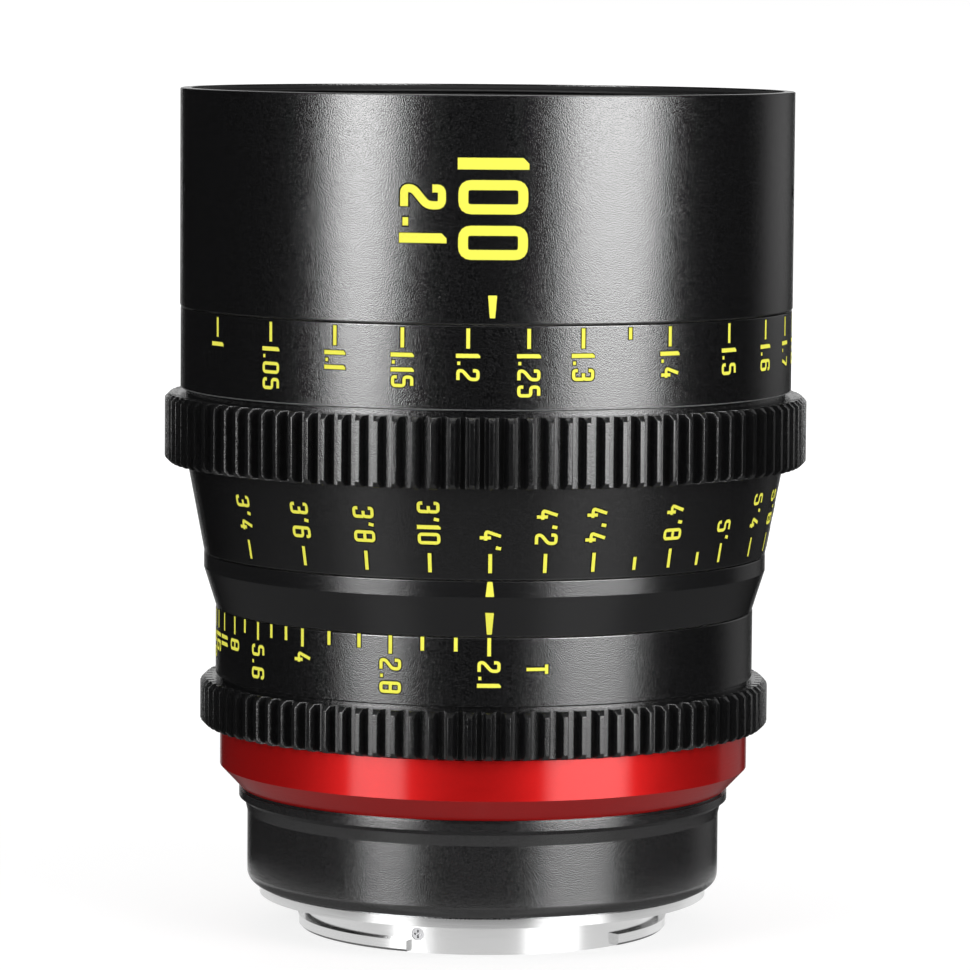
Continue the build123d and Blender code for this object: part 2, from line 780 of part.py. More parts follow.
def make_front_barrel():
    seat = tube_radius
    body = turned([
        (seat, front_low), (front_radius - front_foot_chamfer, front_low),
        (front_radius, front_low + front_foot_chamfer), (front_radius, front_high - front_rim_chamfer),
        (front_radius - front_rim_chamfer, front_high), (front_inner_radius, front_high),
        (front_inner_radius, filter_low), (front_step_radius, filter_low), (front_step_radius, web_high),
        (front_web_bore_radius, web_high), (front_web_bore_radius, tube_high), (seat, tube_high)])
    for angle in spread(web_screw_count, web_screw_turn):
        body -= post(web_screw_radius, web_screw_circle, angle, front_low, web_high + overrun)
        body -= post(
            web_screw_head_radius, web_screw_circle, angle, web_high - web_screw_head_height,
            web_high + overrun)
    for angle in set_screw_angles:
        body -= spoke(
            set_screw_radius, front_inner_radius - overrun, front_radius + overrun, angle,
            front_high - set_screw_drop)
    return body


def make_web_screws():
    screw = cap_screw(web_screw_radius, web_screw_head_radius, web_screw_head_height, web_screw_length)
    return group(
        Rot(0, 0, angle) * Pos(web_screw_circle, 0, web_high) * Rot(180, 0, 0) * screw
        for angle in spread(web_screw_count, web_screw_turn))


def make_filter_ring():
    thread_low = filter_high - filter_thread_depth
    points = ridged_bore(filter_bore_radius, filter_low, thread_low, filter_ridge_count, filter_ridge_depth)
    body = turned(points + [
        (filter_thread_radius, thread_low), (filter_thread_radius, filter_high - filter_lead_chamfer),
        (filter_thread_radius + filter_lead_chamfer, filter_high), (front_inner_radius, filter_high),
        (front_inner_radius, filter_low)])
    for angle in set_screw_angles:
        body -= spoke(
            set_screw_radius, front_inner_radius - set_screw_root, front_radius + overrun, angle,
            front_high - set_screw_drop)
    return body


def make_set_screws():
    outer = front_radius - set_screw_sink
    screw = spoke(set_screw_radius, front_inner_radius - set_screw_root, outer, 0, 0)
    socket = extrude(RegularPolygon(set_screw_socket_radius, 6), set_screw_socket_depth)
    screw -= Pos(outer - set_screw_socket_depth, 0, 0) * Rot(0, 90, 0) * socket
    level = front_high - set_screw_drop
    return group(Rot(0, 0, angle) * Pos(0, 0, level) * screw for angle in set_screw_angles)


def make_focus_sleeve():
    recess_inner = front_slide_radius - slide_recess_play
    recess_outer = front_slide_radius + front_slide_width + slide_recess_play
    recess_low = front_low - slide_ring_thickness - axial_gap
    body = turned([
        (cam_sleeve_radius, sleeve_low), (sleeve_tail_radius, sleeve_low), (sleeve_tail_radius, cone_high),
        (focus_seat_radius, cone_high), (focus_seat_radius, focus_gear_high),
        (focus_groove_radius, focus_gear_high), (focus_groove_radius, metre_low),
        (metre_radius - metre_edge_chamfer, metre_low), (metre_radius, metre_low + metre_edge_chamfer),
        (metre_radius, focus_high - metre_edge_chamfer), (metre_radius - metre_edge_chamfer, focus_high),
        (recess_outer, focus_high), (recess_outer, recess_low), (recess_inner, recess_low),
        (recess_inner, focus_high), (tube_radius + free_gap, focus_high), (tube_radius + free_gap, lip_low),
        (cam_sleeve_radius, lip_low)])
    for angle in spread(cam_screw_count, cam_screw_turn):
        body -= post(cam_screw_radius, cam_screw_circle, angle, lip_low - overrun, focus_high + overrun)
        body -= post(
            cam_screw_head_radius, cam_screw_circle, angle, focus_high - cam_screw_head_height,
            focus_high + overrun)
    return body


def make_cam_sleeve():
    body = ring(ring_bore_radius, cam_sleeve_radius, cam_low, lip_low)
    low = follower_level - far_drop
    middle_radius = (slide_radius + cam_groove_radius) / 2
    groove_depth = cam_groove_radius - slide_radius
    path = Helix(
        focus_lead, far_drop + near_rise, middle_radius, center=(0, 0, low), lefthand=True)
    section = Plane(origin=path @ 0, x_dir=(1, 0, 0), z_dir=path % 0) * Rectangle(
        groove_depth, 2 * slot_half_width)
    groove = sweep(section, path=path, is_frenet=True)
    end_radius = slot_half_width + groove_end_relief
    for angle in spread(slot_count, slot_turn):
        body -= Rot(0, 0, angle + focus_far_travel) * groove
    for angle in spread(slot_count, slot_turn):
        body -= spoke(end_radius, slide_radius, cam_groove_radius, angle + focus_far_travel, low)
        body -= spoke(
            end_radius, slide_radius, cam_groove_radius, angle - focus_near_travel,
            follower_level + near_rise)
    for angle in spread(cam_screw_count, cam_screw_turn):
        body -= post(
            cam_screw_radius, cam_screw_circle, angle, focus_high - cam_screw_length, lip_low + overrun)
    return body


def make_cam_screws():
    screw = cap_screw(cam_screw_radius, cam_screw_head_radius, cam_screw_head_height, cam_screw_length)
    return group(
        Rot(0, 0, angle) * Pos(cam_screw_circle, 0, focus_high) * Rot(180, 0, 0) * screw
        for angle in spread(cam_screw_count, cam_screw_turn))


def make_feet_ring():
    recess_radius = tube_radius + rear_slide_width + slide_recess_play
    recess_high = index_high + slide_ring_thickness + axial_gap
    body = turned([
        (recess_radius, focus_low), (feet_foot_radius - feet_edge_chamfer, focus_low),
        (feet_foot_radius, focus_low + feet_edge_chamfer), (feet_top_radius, cone_high),
        (sleeve_tail_radius, cone_high), (sleeve_tail_radius, sleeve_low),
        (feet_bore_radius, sleeve_low), (feet_bore_radius, recess_high), (recess_radius, recess_high)])
    channel_low = focus_low + stop_channel_rise
    stop_margin = degrees((stop_pin_radius + stop_contact_gap) / tube_radius)
    lug_half = (360 - focus_near_travel - focus_far_travel) / 2 - stop_margin
    lug_middle = stop_pin_angle - focus_near_travel - lug_half - stop_margin
    body -= sector(
        feet_bore_radius - overrun, stop_channel_radius, channel_low, channel_low + stop_channel_height,
        lug_middle + lug_half, lug_middle - lug_half + 360)
    return body


def make_t_scale_ring():
    recess_radius = tube_radius + iris_slide_width + slide_recess_play
    recess_low = index_low - slide_ring_thickness - axial_gap
    body = turned([
        (ring_bore_radius, iris_low), (iris_seat_radius, iris_low), (iris_seat_radius, iris_gear_high),
        (gear_groove_radius, iris_gear_high), (gear_groove_radius, t_low),
        (t_scale_radius - t_edge_chamfer, t_low), (t_scale_radius, t_low + t_edge_chamfer),
        (t_scale_radius, t_high - t_edge_chamfer), (t_scale_radius - t_edge_chamfer, t_high),
        (recess_radius, t_high), (recess_radius, recess_low), (ring_bore_radius, recess_low)])
    for angle in spread(drive_pin_count, drive_pin_turn):
        body -= spoke(
            drive_pin_radius, slide_bore_radius, ring_bore_radius + drive_pin_depth, angle, drive_pin_level)
    return body


def make_drive_ring():
    low = drive_pin_level - drive_ring_height / 2
    body = ring(drive_ring_bore_radius, slide_radius, low, low + drive_ring_height)
    notch_depth = lever_circle + lever_thickness / 2 + running_gap
    notch_width = lever_width + 2 * running_gap
    notch = Pos(0, 0, low + drive_ring_height / 2) * Box(
        notch_depth, notch_width, drive_ring_height + overrun, align=(Align.MIN, Align.CENTER, Align.CENTER))
    body -= Rot(0, 0, lever_turn) * notch
    for angle in spread(drive_pin_count, drive_pin_turn):
        body -= spoke(
            drive_pin_radius, slide_radius - drive_pin_root, slide_radius + overrun, angle, drive_pin_level)
    return body


def make_drive_pins():
    return group(
        spoke(
            drive_pin_radius, slide_radius - drive_pin_root, ring_bore_radius + drive_pin_depth, angle,
            drive_pin_level)
        for angle in spread(drive_pin_count, drive_pin_turn))


def make_optics_barrel():
    body = turned([
        (optics_bore_radius, optics_low), (slide_radius, optics_low), (slide_radius, cell_high),
        (optics_bore_radius, cell_high), (optics_bore_radius, shoulder_high),
        (optics_shoulder_bore, shoulder_high), (optics_shoulder_bore, shoulder_low),
        (optics_bore_radius, shoulder_low)])
    for angle in spread(slot_count, slot_turn):
        body -= spoke(
            follower_shank_radius, optics_bore_radius - overrun, slide_radius + overrun, angle,
            follower_level)
    return body


def make_rollers():
    roller = spoke(roller_radius, slide_radius + roller_lift, roller_end_radius, 0, follower_level)
    roller -= spoke(follower_shank_radius, slide_radius, cam_groove_radius, 0, follower_level)
    head_low = cam_groove_radius - follower_head_play - follower_head_height
    roller -= spoke(follower_head_radius, head_low, cam_groove_radius, 0, follower_level)
    return group(Rot(0, 0, angle) * roller for angle in spread(slot_count, slot_turn))


def make_follower_screws():
    head_high = cam_groove_radius - follower_head_play
    head_low = head_high - follower_head_height
    screw = spoke(follower_shank_radius, optics_bore_radius, head_low, 0, follower_level)
    screw -= ring(0, optics_bore_radius, optics_low, cell_high)
    screw += spoke(follower_head_radius, head_low, head_high, 0, follower_level)
    screw -= Pos(head_high, 0, follower_level) * Rot(0, 90, 0) * cross_slots(follower_head_radius)
    return group(Rot(0, 0, angle) * screw for angle in spread(slot_count, slot_turn))


# Heights of the front glass, from the ledge of the front cell up
third_rim = shoulder_high + front_ledge_thickness
third_vertex = third_rim + sag(third_rear_curve, third_clear_radius)
front_bond = third_vertex + third_thickness
second_rim = front_bond - sag(front_bond_curve, rear_pair_radius) + second_edge_height
second_vertex = second_rim + sag(second_front_curve, second_clear_radius)
first_rear_vertex = second_vertex + first_air_gap
first_rim = first_rear_vertex - sag(first_rear_curve, first_clear_radius)
cell_high = first_rim + first_seat_drop
first_front_rim = first_rim + first_edge_height
first_vertex = first_front_rim + sag(first_front_curve, first_clear_radius)

# Heights of the rear glass, from the ledge of the rear cell down
rear_cell_high = cover_low
fourth_rim = rear_cell_high - rear_ledge_thickness
fourth_vertex = fourth_rim - sag(fourth_front_curve, rear_clear_radius)
rear_bond = fourth_vertex - fourth_thickness
fifth_vertex = rear_bond - fifth_thickness
fifth_rim = fifth_vertex + sag(fifth_rear_curve, fifth_clear_radius)
sixth_vertex = fifth_vertex - sixth_gap
sixth_front_rim = sixth_vertex - sag(sixth_front_curve, fifth_clear_radius)
sixth_rear_rim = sixth_front_rim - sixth_edge_height
sixth_rear_vertex = sixth_rear_rim - sag(sixth_rear_curve, fifth_clear_radius)
rear_cell_low = sixth_rear_rim - rear_retainer_height - rear_retainer_inset


def make_front_cell():
    return turned([
        (front_ledge_radius, shoulder_high), (optics_bore_radius, shoulder_high),
        (optics_bore_radius, cell_high), (first_seat_radius, cell_high), (first_seat_radius, first_rim),
        (rear_pair_radius, first_rim), (rear_pair_radius, third_rim), (front_ledge_radius, third_rim)])


def make_third_element():
    return element(
        (front_bond_curve, rear_pair_radius, front_bond, 1),
        (third_rear_curve, third_clear_radius, third_vertex, 1), rear_pair_radius)


def make_second_element():
    return element(
        (second_front_curve, second_clear_radius, second_vertex, 1),
        (front_bond_curve, rear_pair_radius, front_bond, 1), rear_pair_radius)


def make_front_spacer():
    return ring(rear_pair_radius - spacer_wall, rear_pair_radius, second_rim, first_rim)


def make_front_element():
    return element(
        (first_front_curve, first_clear_radius, first_vertex, 1),
        (first_rear_curve, first_clear_radius, first_rear_vertex, 1), first_seat_radius)


def make_front_retainer():
    high = cell_high - retainer_drop
    return turned([
        (first_seat_radius - retainer_wall, first_front_rim), (first_seat_radius, first_front_rim),
        (first_seat_radius, high), (trim_bore_radius, high)])


def make_trim_ring():
    high = cell_high + trim_ring_height
    inner = trim_bore_radius + trim_ring_height
    points = [
        (trim_bore_radius, cell_high), (trim_ring_radius, cell_high), (trim_ring_radius, high)]
    for i in range(trim_ridge_count):
        edge = trim_ring_radius - trim_ridge_pitch * (i + 1)
        points.append((edge, high))
        points.append((edge, high - trim_ridge_depth))
        points.append((edge - trim_ridge_pitch / 2, high))
    points.append((inner, high))
    points.append((trim_bore_radius, cell_high + trim_lip_rise))
    return turned(points)


def make_iris_housing():
    body = turned([
        (iris_cup_radius, cover_low), (optics_bore_radius, cover_low), (optics_bore_radius, shoulder_low),
        (iris_opening_radius, shoulder_low), (iris_opening_radius, plate_low), (iris_cup_radius, plate_low)])
    for angle in spread(iris_blade_count):
        body -= post(
            blade_pivot_radius + running_gap, blade_pivot_circle, angle, plate_low - overrun,
            plate_low + blade_pivot_depth + axial_gap)
    return body


def blade_pin_place(share):
    """Place of a blade's cam pin when the iris is closed by this share of its travel."""
    angle = blade_arm_angle + blade_swing * share
    x, y = polar(blade_arm, angle)
    return blade_pivot_circle + x, y


def make_blade(index):
    x, y = blade_pin_place(0)
    band = extrude(make_face([
        CenterArc((0, 0), blade_outer_radius, -blade_heel, blade_span + blade_heel),
        CenterArc((0, 0), blade_inner_radius, -blade_heel, blade_span + blade_heel),
        Line(polar(blade_inner_radius, -blade_heel), polar(blade_outer_radius, -blade_heel)),
        Line(polar(blade_inner_radius, blade_span), polar(blade_outer_radius, blade_span))]), blade_thickness)
    inset = blade_outer_radius - blade_lobe_radius
    plate = band + Pos(blade_pivot_circle, 0, 0) * Cylinder(
        blade_lobe_radius, blade_thickness, align=(Align.CENTER, Align.CENTER, Align.MIN))
    plate += Pos(x, y, 0) * Cylinder(
        blade_lug_radius, blade_thickness, align=(Align.CENTER, Align.CENTER, Align.MIN))
    side = degrees(atan2(y, x))
    reach = hypot(x, y)
    lug_turn = degrees(blade_lug_radius / reach)
    neck_turn = degrees(blade_lobe_radius / blade_pivot_circle)
    bridge = [
        polar(inset, -neck_turn), polar(blade_pivot_circle, -neck_turn), polar(reach, side - lug_turn),
        polar(reach, side + lug_turn), polar(inset, side + lug_turn)]
    plate += extrude(make_face(Polyline(*bridge, close=True)), blade_thickness)
    top = plate_low - blade_top_gap - index * blade_pitch
    low = top - blade_thickness
    blade = Pos(0, 0, low) * plate
    blade += post(blade_pivot_radius, blade_pivot_circle, 0, low, plate_low + blade_pivot_depth)
    pin_low = cam_ring_low + running_gap
    pin_length = low + blade_thickness - pin_low
    pin = Cylinder(blade_pin_radius, pin_length, align=(Align.CENTER, Align.CENTER, Align.MIN))
    blade += Pos(x, y, pin_low) * pin
    return Rot(0, 0, 360 * index / iris_blade_count) * blade


def make_cam_ring():
    body = ring(cam_ring_bore_radius, cam_ring_radius, cam_ring_low, cam_ring_high)
    half = blade_pin_radius + running_gap
    path = []
    for i in range(cam_slot_steps + 1):
        share = i / cam_slot_steps
        x, y = blade_pin_place(share)
        path.append((hypot(x, y), degrees(atan2(y, x)) - iris_travel * share))
    outer = [polar(radius + half, angle) for radius, angle in path]
    inner = [polar(radius - half, angle) for radius, angle in path]
    sides = [Spline(*outer), Spline(*inner), Line(outer[0], inner[0]), Line(outer[-1], inner[-1])]
    slot = extrude(make_face(sides), cam_ring_thickness)
    for place in (path[0], path[-1]):
        x, y = polar(*place)
        end = Cylinder(half, cam_ring_thickness, align=(Align.CENTER, Align.CENTER, Align.MIN))
        slot += Pos(x, y, 0) * end
    for angle in spread(iris_blade_count):
        body -= Rot(0, 0, angle) * Pos(0, 0, cam_ring_low) * slot
    return body


def make_lever():
    bar = Box(lever_thickness, lever_width, lever_length, align=(Align.CENTER, Align.CENTER, Align.MAX))
    return Rot(0, 0, lever_turn) * Pos(lever_circle, 0, cam_ring_low) * bar


def make_iris_cover():
    body = ring(iris_cover_bore_radius, iris_cup_radius, cover_low, cover_high)
    half = degrees((lever_width / 2 + lever_window_play) / lever_circle)
    reach = lever_thickness / 2 + lever_window_play
    body -= sector(
        lever_circle - reach, lever_circle + reach, cover_low - overrun, cover_high + overrun,
        lever_turn - half, lever_turn + iris_travel + half)
    return body


def make_rear_cell():
    glass = rear_glass_radius
    return turned([
        (glass, rear_cell_low), (rear_cell_radius, rear_cell_low), (rear_cell_radius, rear_cell_high),
        (rear_clear_radius + rear_retainer_wall, rear_cell_high), (rear_clear_radius, fourth_rim),
        (glass, fourth_rim)])


def make_fourth_element():
    return element(
        (fourth_front_curve, rear_clear_radius, fourth_vertex, -1),
        (rear_bond_curve, rear_glass_radius, rear_bond, -1), rear_glass_radius)


def make_fifth_element():
    return element(
        (rear_bond_curve, rear_glass_radius, rear_bond, -1),
        (fifth_rear_curve, fifth_clear_radius, fifth_vertex, -1), rear_glass_radius)


def make_rear_spacer():
    return ring(rear_glass_radius - rear_retainer_wall, rear_glass_radius, sixth_front_rim, fifth_rim)


def make_sixth_element():
    return element(
        (sixth_front_curve, fifth_clear_radius, sixth_vertex, 1),
        (sixth_rear_curve, fifth_clear_radius, sixth_rear_vertex, -1), rear_glass_radius)


def make_rear_retainer():
    low = rear_cell_low + rear_retainer_inset
    return ring(rear_glass_radius - rear_retainer_wall, rear_glass_radius, low, sixth_rear_rim)


parts = {
    "bayonet_mount": make_bayonet_mount(),
    "mount_screws": make_mount_screws(),
    "bayonet_stop_screw": make_stop_screw(),
    "mount_shim": make_mount_shim(),
    "rear_baffle": make_rear_baffle(),
    "rear_baffle_screws": make_baffle_screws(),
    "rear_barrel": make_rear_barrel(),
    "rear_barrel_screws": make_barrel_screws(),
    "red_ring": make_red_ring(),
    "main_tube": make_main_tube(),
    "focus_stop_pin": make_stop_pin(),
    "index_ring": make_index_ring(),
    "rear_slide_ring": make_rear_slide_ring(),
    "front_slide_ring": make_front_slide_ring(),
    "iris_slide_ring": make_iris_slide_ring(),
    "front_barrel": make_front_barrel(),
    "front_barrel_screws": make_web_screws(),
    "filter_ring": make_filter_ring(),
    "barrel_set_screws": make_set_screws(),
    "focus_sleeve": make_focus_sleeve(),
    "focus_gear": gear(focus_gear_teeth, focus_addendum, focus_seat_radius, cone_high, focus_gear_high),
    "feet_scale_ring": make_feet_ring(),
    "cam_sleeve": make_cam_sleeve(),
    "cam_sleeve_screws": make_cam_screws(),
    "t_scale_ring": make_t_scale_ring(),
    "iris_gear": gear(iris_gear_teeth, iris_addendum, iris_seat_radius, iris_low, iris_gear_high),
    "iris_drive_ring": make_drive_ring(),
    "iris_drive_pins": make_drive_pins(),
    "optics_barrel": make_optics_barrel(),
    "cam_followers": make_rollers(),
    "follower_screws": make_follower_screws(),
    "front_cell": make_front_cell(),
    "front_element": make_front_element(),
    "second_element": make_second_element(),
    "third_element": make_third_element(),
    "front_spacer": make_front_spacer(),
    "front_retaining_ring": make_front_retainer(),
    "front_trim_ring": make_trim_ring(),
    "iris_housing": make_iris_housing(),
    "iris_cover": make_iris_cover(),
    "iris_cam_ring": make_cam_ring(),
    "iris_lever": make_lever(),
    "rear_cell": make_rear_cell(),
    "fourth_element": make_fourth_element(),
    "fifth_element": make_fifth_element(),
    "sixth_element": make_sixth_element(),
    "rear_spacer": make_rear_spacer(),
    "rear_retaining_ring": make_rear_retainer(),
}
for blade_index in range(iris_blade_count):
    parts[f"iris_blade_{blade_index + 1}"] = make_blade(blade_index)

os.makedirs("parts", exist_ok=True)
for name, shape in parts.items():
    export_step(shape, f"parts/{name}.step")
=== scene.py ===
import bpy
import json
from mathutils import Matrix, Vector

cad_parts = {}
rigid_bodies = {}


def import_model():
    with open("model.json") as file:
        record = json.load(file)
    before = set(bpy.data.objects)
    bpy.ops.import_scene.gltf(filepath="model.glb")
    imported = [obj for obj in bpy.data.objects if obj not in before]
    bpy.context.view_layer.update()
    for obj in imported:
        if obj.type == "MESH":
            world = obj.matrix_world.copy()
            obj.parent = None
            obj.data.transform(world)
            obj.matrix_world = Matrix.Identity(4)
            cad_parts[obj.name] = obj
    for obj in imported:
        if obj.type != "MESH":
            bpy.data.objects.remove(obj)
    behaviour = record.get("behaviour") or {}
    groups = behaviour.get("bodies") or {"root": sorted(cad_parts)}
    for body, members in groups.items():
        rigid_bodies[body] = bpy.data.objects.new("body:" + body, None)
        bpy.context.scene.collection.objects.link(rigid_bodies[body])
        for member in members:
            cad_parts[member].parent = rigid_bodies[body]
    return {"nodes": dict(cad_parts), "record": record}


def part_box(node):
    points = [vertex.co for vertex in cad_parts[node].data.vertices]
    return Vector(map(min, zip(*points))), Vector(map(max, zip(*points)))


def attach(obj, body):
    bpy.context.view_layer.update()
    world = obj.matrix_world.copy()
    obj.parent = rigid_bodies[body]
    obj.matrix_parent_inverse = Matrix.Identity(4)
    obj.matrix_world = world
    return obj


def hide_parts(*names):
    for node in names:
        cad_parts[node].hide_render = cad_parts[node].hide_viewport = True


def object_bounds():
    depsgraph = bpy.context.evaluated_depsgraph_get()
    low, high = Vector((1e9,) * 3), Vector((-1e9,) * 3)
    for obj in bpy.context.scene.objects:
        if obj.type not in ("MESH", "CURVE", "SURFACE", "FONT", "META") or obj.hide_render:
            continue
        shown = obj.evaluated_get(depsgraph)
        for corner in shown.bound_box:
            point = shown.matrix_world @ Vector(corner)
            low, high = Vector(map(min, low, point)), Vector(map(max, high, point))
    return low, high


bl_info = {
    "name": "Cinema Prime Lens",
    "version": (1, 0, 0),
    "blender": (4, 5, 0),
    "location": "View3D > Sidebar > Lens",
    "description": "Dresses a cinema prime lens with gears, scales, finishes and a small studio",
    "category": "Object",
}

import json
from math import atan2, cos, hypot, pi, radians, sin

import bmesh
import bpy
from mathutils import Matrix, Vector

for stray in list(bpy.data.objects):
    bpy.data.objects.remove(stray)
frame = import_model()
cad_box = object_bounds()

MM = 0.001
INDEX_SIDE = -90.0          # the index line faces -Y

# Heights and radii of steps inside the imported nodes, in millimetres
METRE_FOOT = 72.3
FEET_FOOT_RADIUS = 40.0
FEET_TOP_RADIUS = 42.4
STOP_FOOT = 31.5
STOP_SCALE_RADIUS = 38.3
INDEX_WALL_RADIUS = 40.0
INDEX_FOOT_RADIUS = 38.25
INDEX_BEVEL_HEIGHT = 5.55
FILTER_THREAD_RADIUS = 41.0
FILTER_THREAD_DEPTH = 5.5
FOCUS_ROOT_RADIUS = 43.82
FOCUS_SEAT_RADIUS = 41.6
IRIS_ROOT_RADIUS = 38.84
IRIS_SEAT_RADIUS = 37.2

# Gear teeth; the shares are half a tooth's width over the pitch, at its tip, pitch line and root
FOCUS_TEETH = 108
IRIS_TEETH = 96
TIP_SHARE = 0.12
PITCH_SHARE = 0.24
ROOT_SHARE = 0.345
TOOTH_END_CHAMFER = 0.7
ROOT_MARGIN = 0.05          # edges are rounded from this far under the roots outwards, in millimetres

# Focus scale: distances are read at rest against the index
FOCAL_LENGTH = 105.0
REST_DISTANCE = 1219.2
TURN_PER_TRAVEL = 24.59     # degrees of the ring for one millimetre of the optics

# Places of the markings, in millimetres from the edge of their ring
METRE_TICK_START = 0.4
METRE_TICK_END = 3.1
METRE_SHORT_END = 2.0
METRE_NUMBER_START = 3.8
FEET_TICK_TOP = 3.65
FEET_SHORT_TOP = 2.8
FEET_TICK_FOOT = 1.0
FEET_NUMBER_FOOT = 4.8
FEET_MARK_FOOT = 4.1        # for numbers that end in the feet mark alone
STOP_TICK_LENGTH = 2.5
STOP_SHORT_LENGTH = 1.9
STOP_NUMBER_START = 3.1
STOP_LETTER_START = 3.4
STOP_NUMBER_STEP = 5.4      # degrees that two stop numbers keep apart
MILLIMETRES_PER_INCH = 25.4

# Index marks, in millimetres: their ends' widths, and their ends' distance from the nearest step
INDEX_NARROW = 0.68
INDEX_WIDE = 1.18
FOCUS_INDEX_TOP = 0.05
FOCUS_INDEX_FOOT = 0.1
STOP_INDEX_TOP = 3.4
STOP_INDEX_FOOT = 0.3
FRONT_INDEX_TOP = 3.9
FRONT_INDEX_FOOT = 0.85
FRONT_INDEX_NARROW = 0.72
FRONT_INDEX_WIDE = 1.22

# Numerals: text, degrees from the index, height over the barrel's foot, digit height, stroke, and the
# digit's width over its height
FRONT_NUMERALS = (("100", 0.0, 22.3, 9.6, 1.57, 0.50), ("2.1", -12.5, 18.8, 6.5, 1.32, 0.55))

# Worn edges of the rings, in millimetres
BARREL_EDGE = 0.15
RING_EDGE = 0.20
INDEX_EDGE = 0.12


def top_of(node):
    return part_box(node)[1].z / MM


def foot_of(node):
    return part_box(node)[0].z / MM


def radius_of(node):
    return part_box(node)[1].x / MM


# Sizes and colours that a user would change

class LensSizes(bpy.types.PropertyGroup):
    tooth_round: bpy.props.FloatProperty(
        name="Tooth edge rounding", description="Rounding along the edges of the gear teeth, in millimetres",
        default=0.06, min=0.01, max=0.15)
    paint_height: bpy.props.FloatProperty(
        name="Paint height", description="How far the filled markings stand over the metal, in millimetres",
        default=0.022, min=0.005, max=0.1)
    outline: bpy.props.FloatProperty(
        name="Marking outline", description="Width of the dark edge around each marking, in millimetres",
        default=0.10, min=0.0, max=0.3)
    digit_height: bpy.props.FloatProperty(
        name="Scale digit height", description="Height of the digits on the three scales, in millimetres",
        default=3.25, min=1.0, max=5.0)
    digit_stroke: bpy.props.FloatProperty(
        name="Scale digit stroke",
        description="Stroke width of the digits on the three scales, in millimetres",
        default=0.56, min=0.2, max=1.0)
    tick_width: bpy.props.FloatProperty(
        name="Tick width", description="Width of the scale ticks, in millimetres",
        default=0.62, min=0.2, max=1.2)
    thread_pitch: bpy.props.FloatProperty(
        name="Filter thread pitch", description="Pitch of the filter thread, in millimetres",
        default=0.75, min=0.5, max=1.0)


class LensColours(bpy.types.PropertyGroup):
    paint: bpy.props.FloatVectorProperty(
        name="Marking paint", description="Colour of the filled scale markings",
        subtype="COLOR", size=3, min=0.0, max=1.0, default=(1.0, 0.97, 0.11))
    black: bpy.props.FloatVectorProperty(
        name="Blasted black", description="Colour of the bead-blasted black rings",
        subtype="COLOR", size=3, min=0.0, max=1.0, default=(0.0035, 0.0035, 0.0038))
    rear: bpy.props.FloatVectorProperty(
        name="Rear barrel", description="Colour of the turned dark grey rear barrel",
        subtype="COLOR", size=3, min=0.0, max=1.0, default=(0.020, 0.020, 0.0205))
    red: bpy.props.FloatVectorProperty(
        name="Red ring", description="Colour of the glossy red anodised ring",
        subtype="COLOR", size=3, min=0.0, max=1.0, default=(1.0, 0.008, 0.008))
    floor: bpy.props.FloatVectorProperty(
        name="Floor", description="Colour of the studio floor",
        subtype="COLOR", size=3, min=0.0, max=1.0, default=(0.35, 0.35, 0.35))


def sizes():
    return bpy.context.scene.lens_sizes


def colours():
    return bpy.context.scene.lens_colours


# Finishes

# Grains of the blasted and turned surfaces, in cells per metre
COARSE_GRAIN = 6300.0
FINE_GRAIN = 9800.0
NOISE_ROUGHNESS = 0.6       # weight of each finer layer of a noise
PATTERN_RANGE = (0.3, 0.7)  # values of a noise that give the darkest and the lightest tone


class NodeTree:
    """Short calls that make and link the nodes of one tree."""

    def __init__(self, tree):
        self.tree = tree

    def node(self, kind, **settings):
        made = self.tree.nodes.new(kind)
        for key, value in settings.items():
            setattr(made, key, value)
        return made

    def link(self, output, target):
        self.tree.links.new(output, target)

    def fill(self, made, values):
        """Sets or links the inputs of a node in their order."""
        for socket, value in zip(made.inputs, values):
            if isinstance(value, (int, float, tuple)):
                socket.default_value = value
            else:
                self.link(value, socket)

    def value(self, operation, *values):
        made = self.node("ShaderNodeMath", operation=operation)
        self.fill(made, values)
        return made.outputs[0]


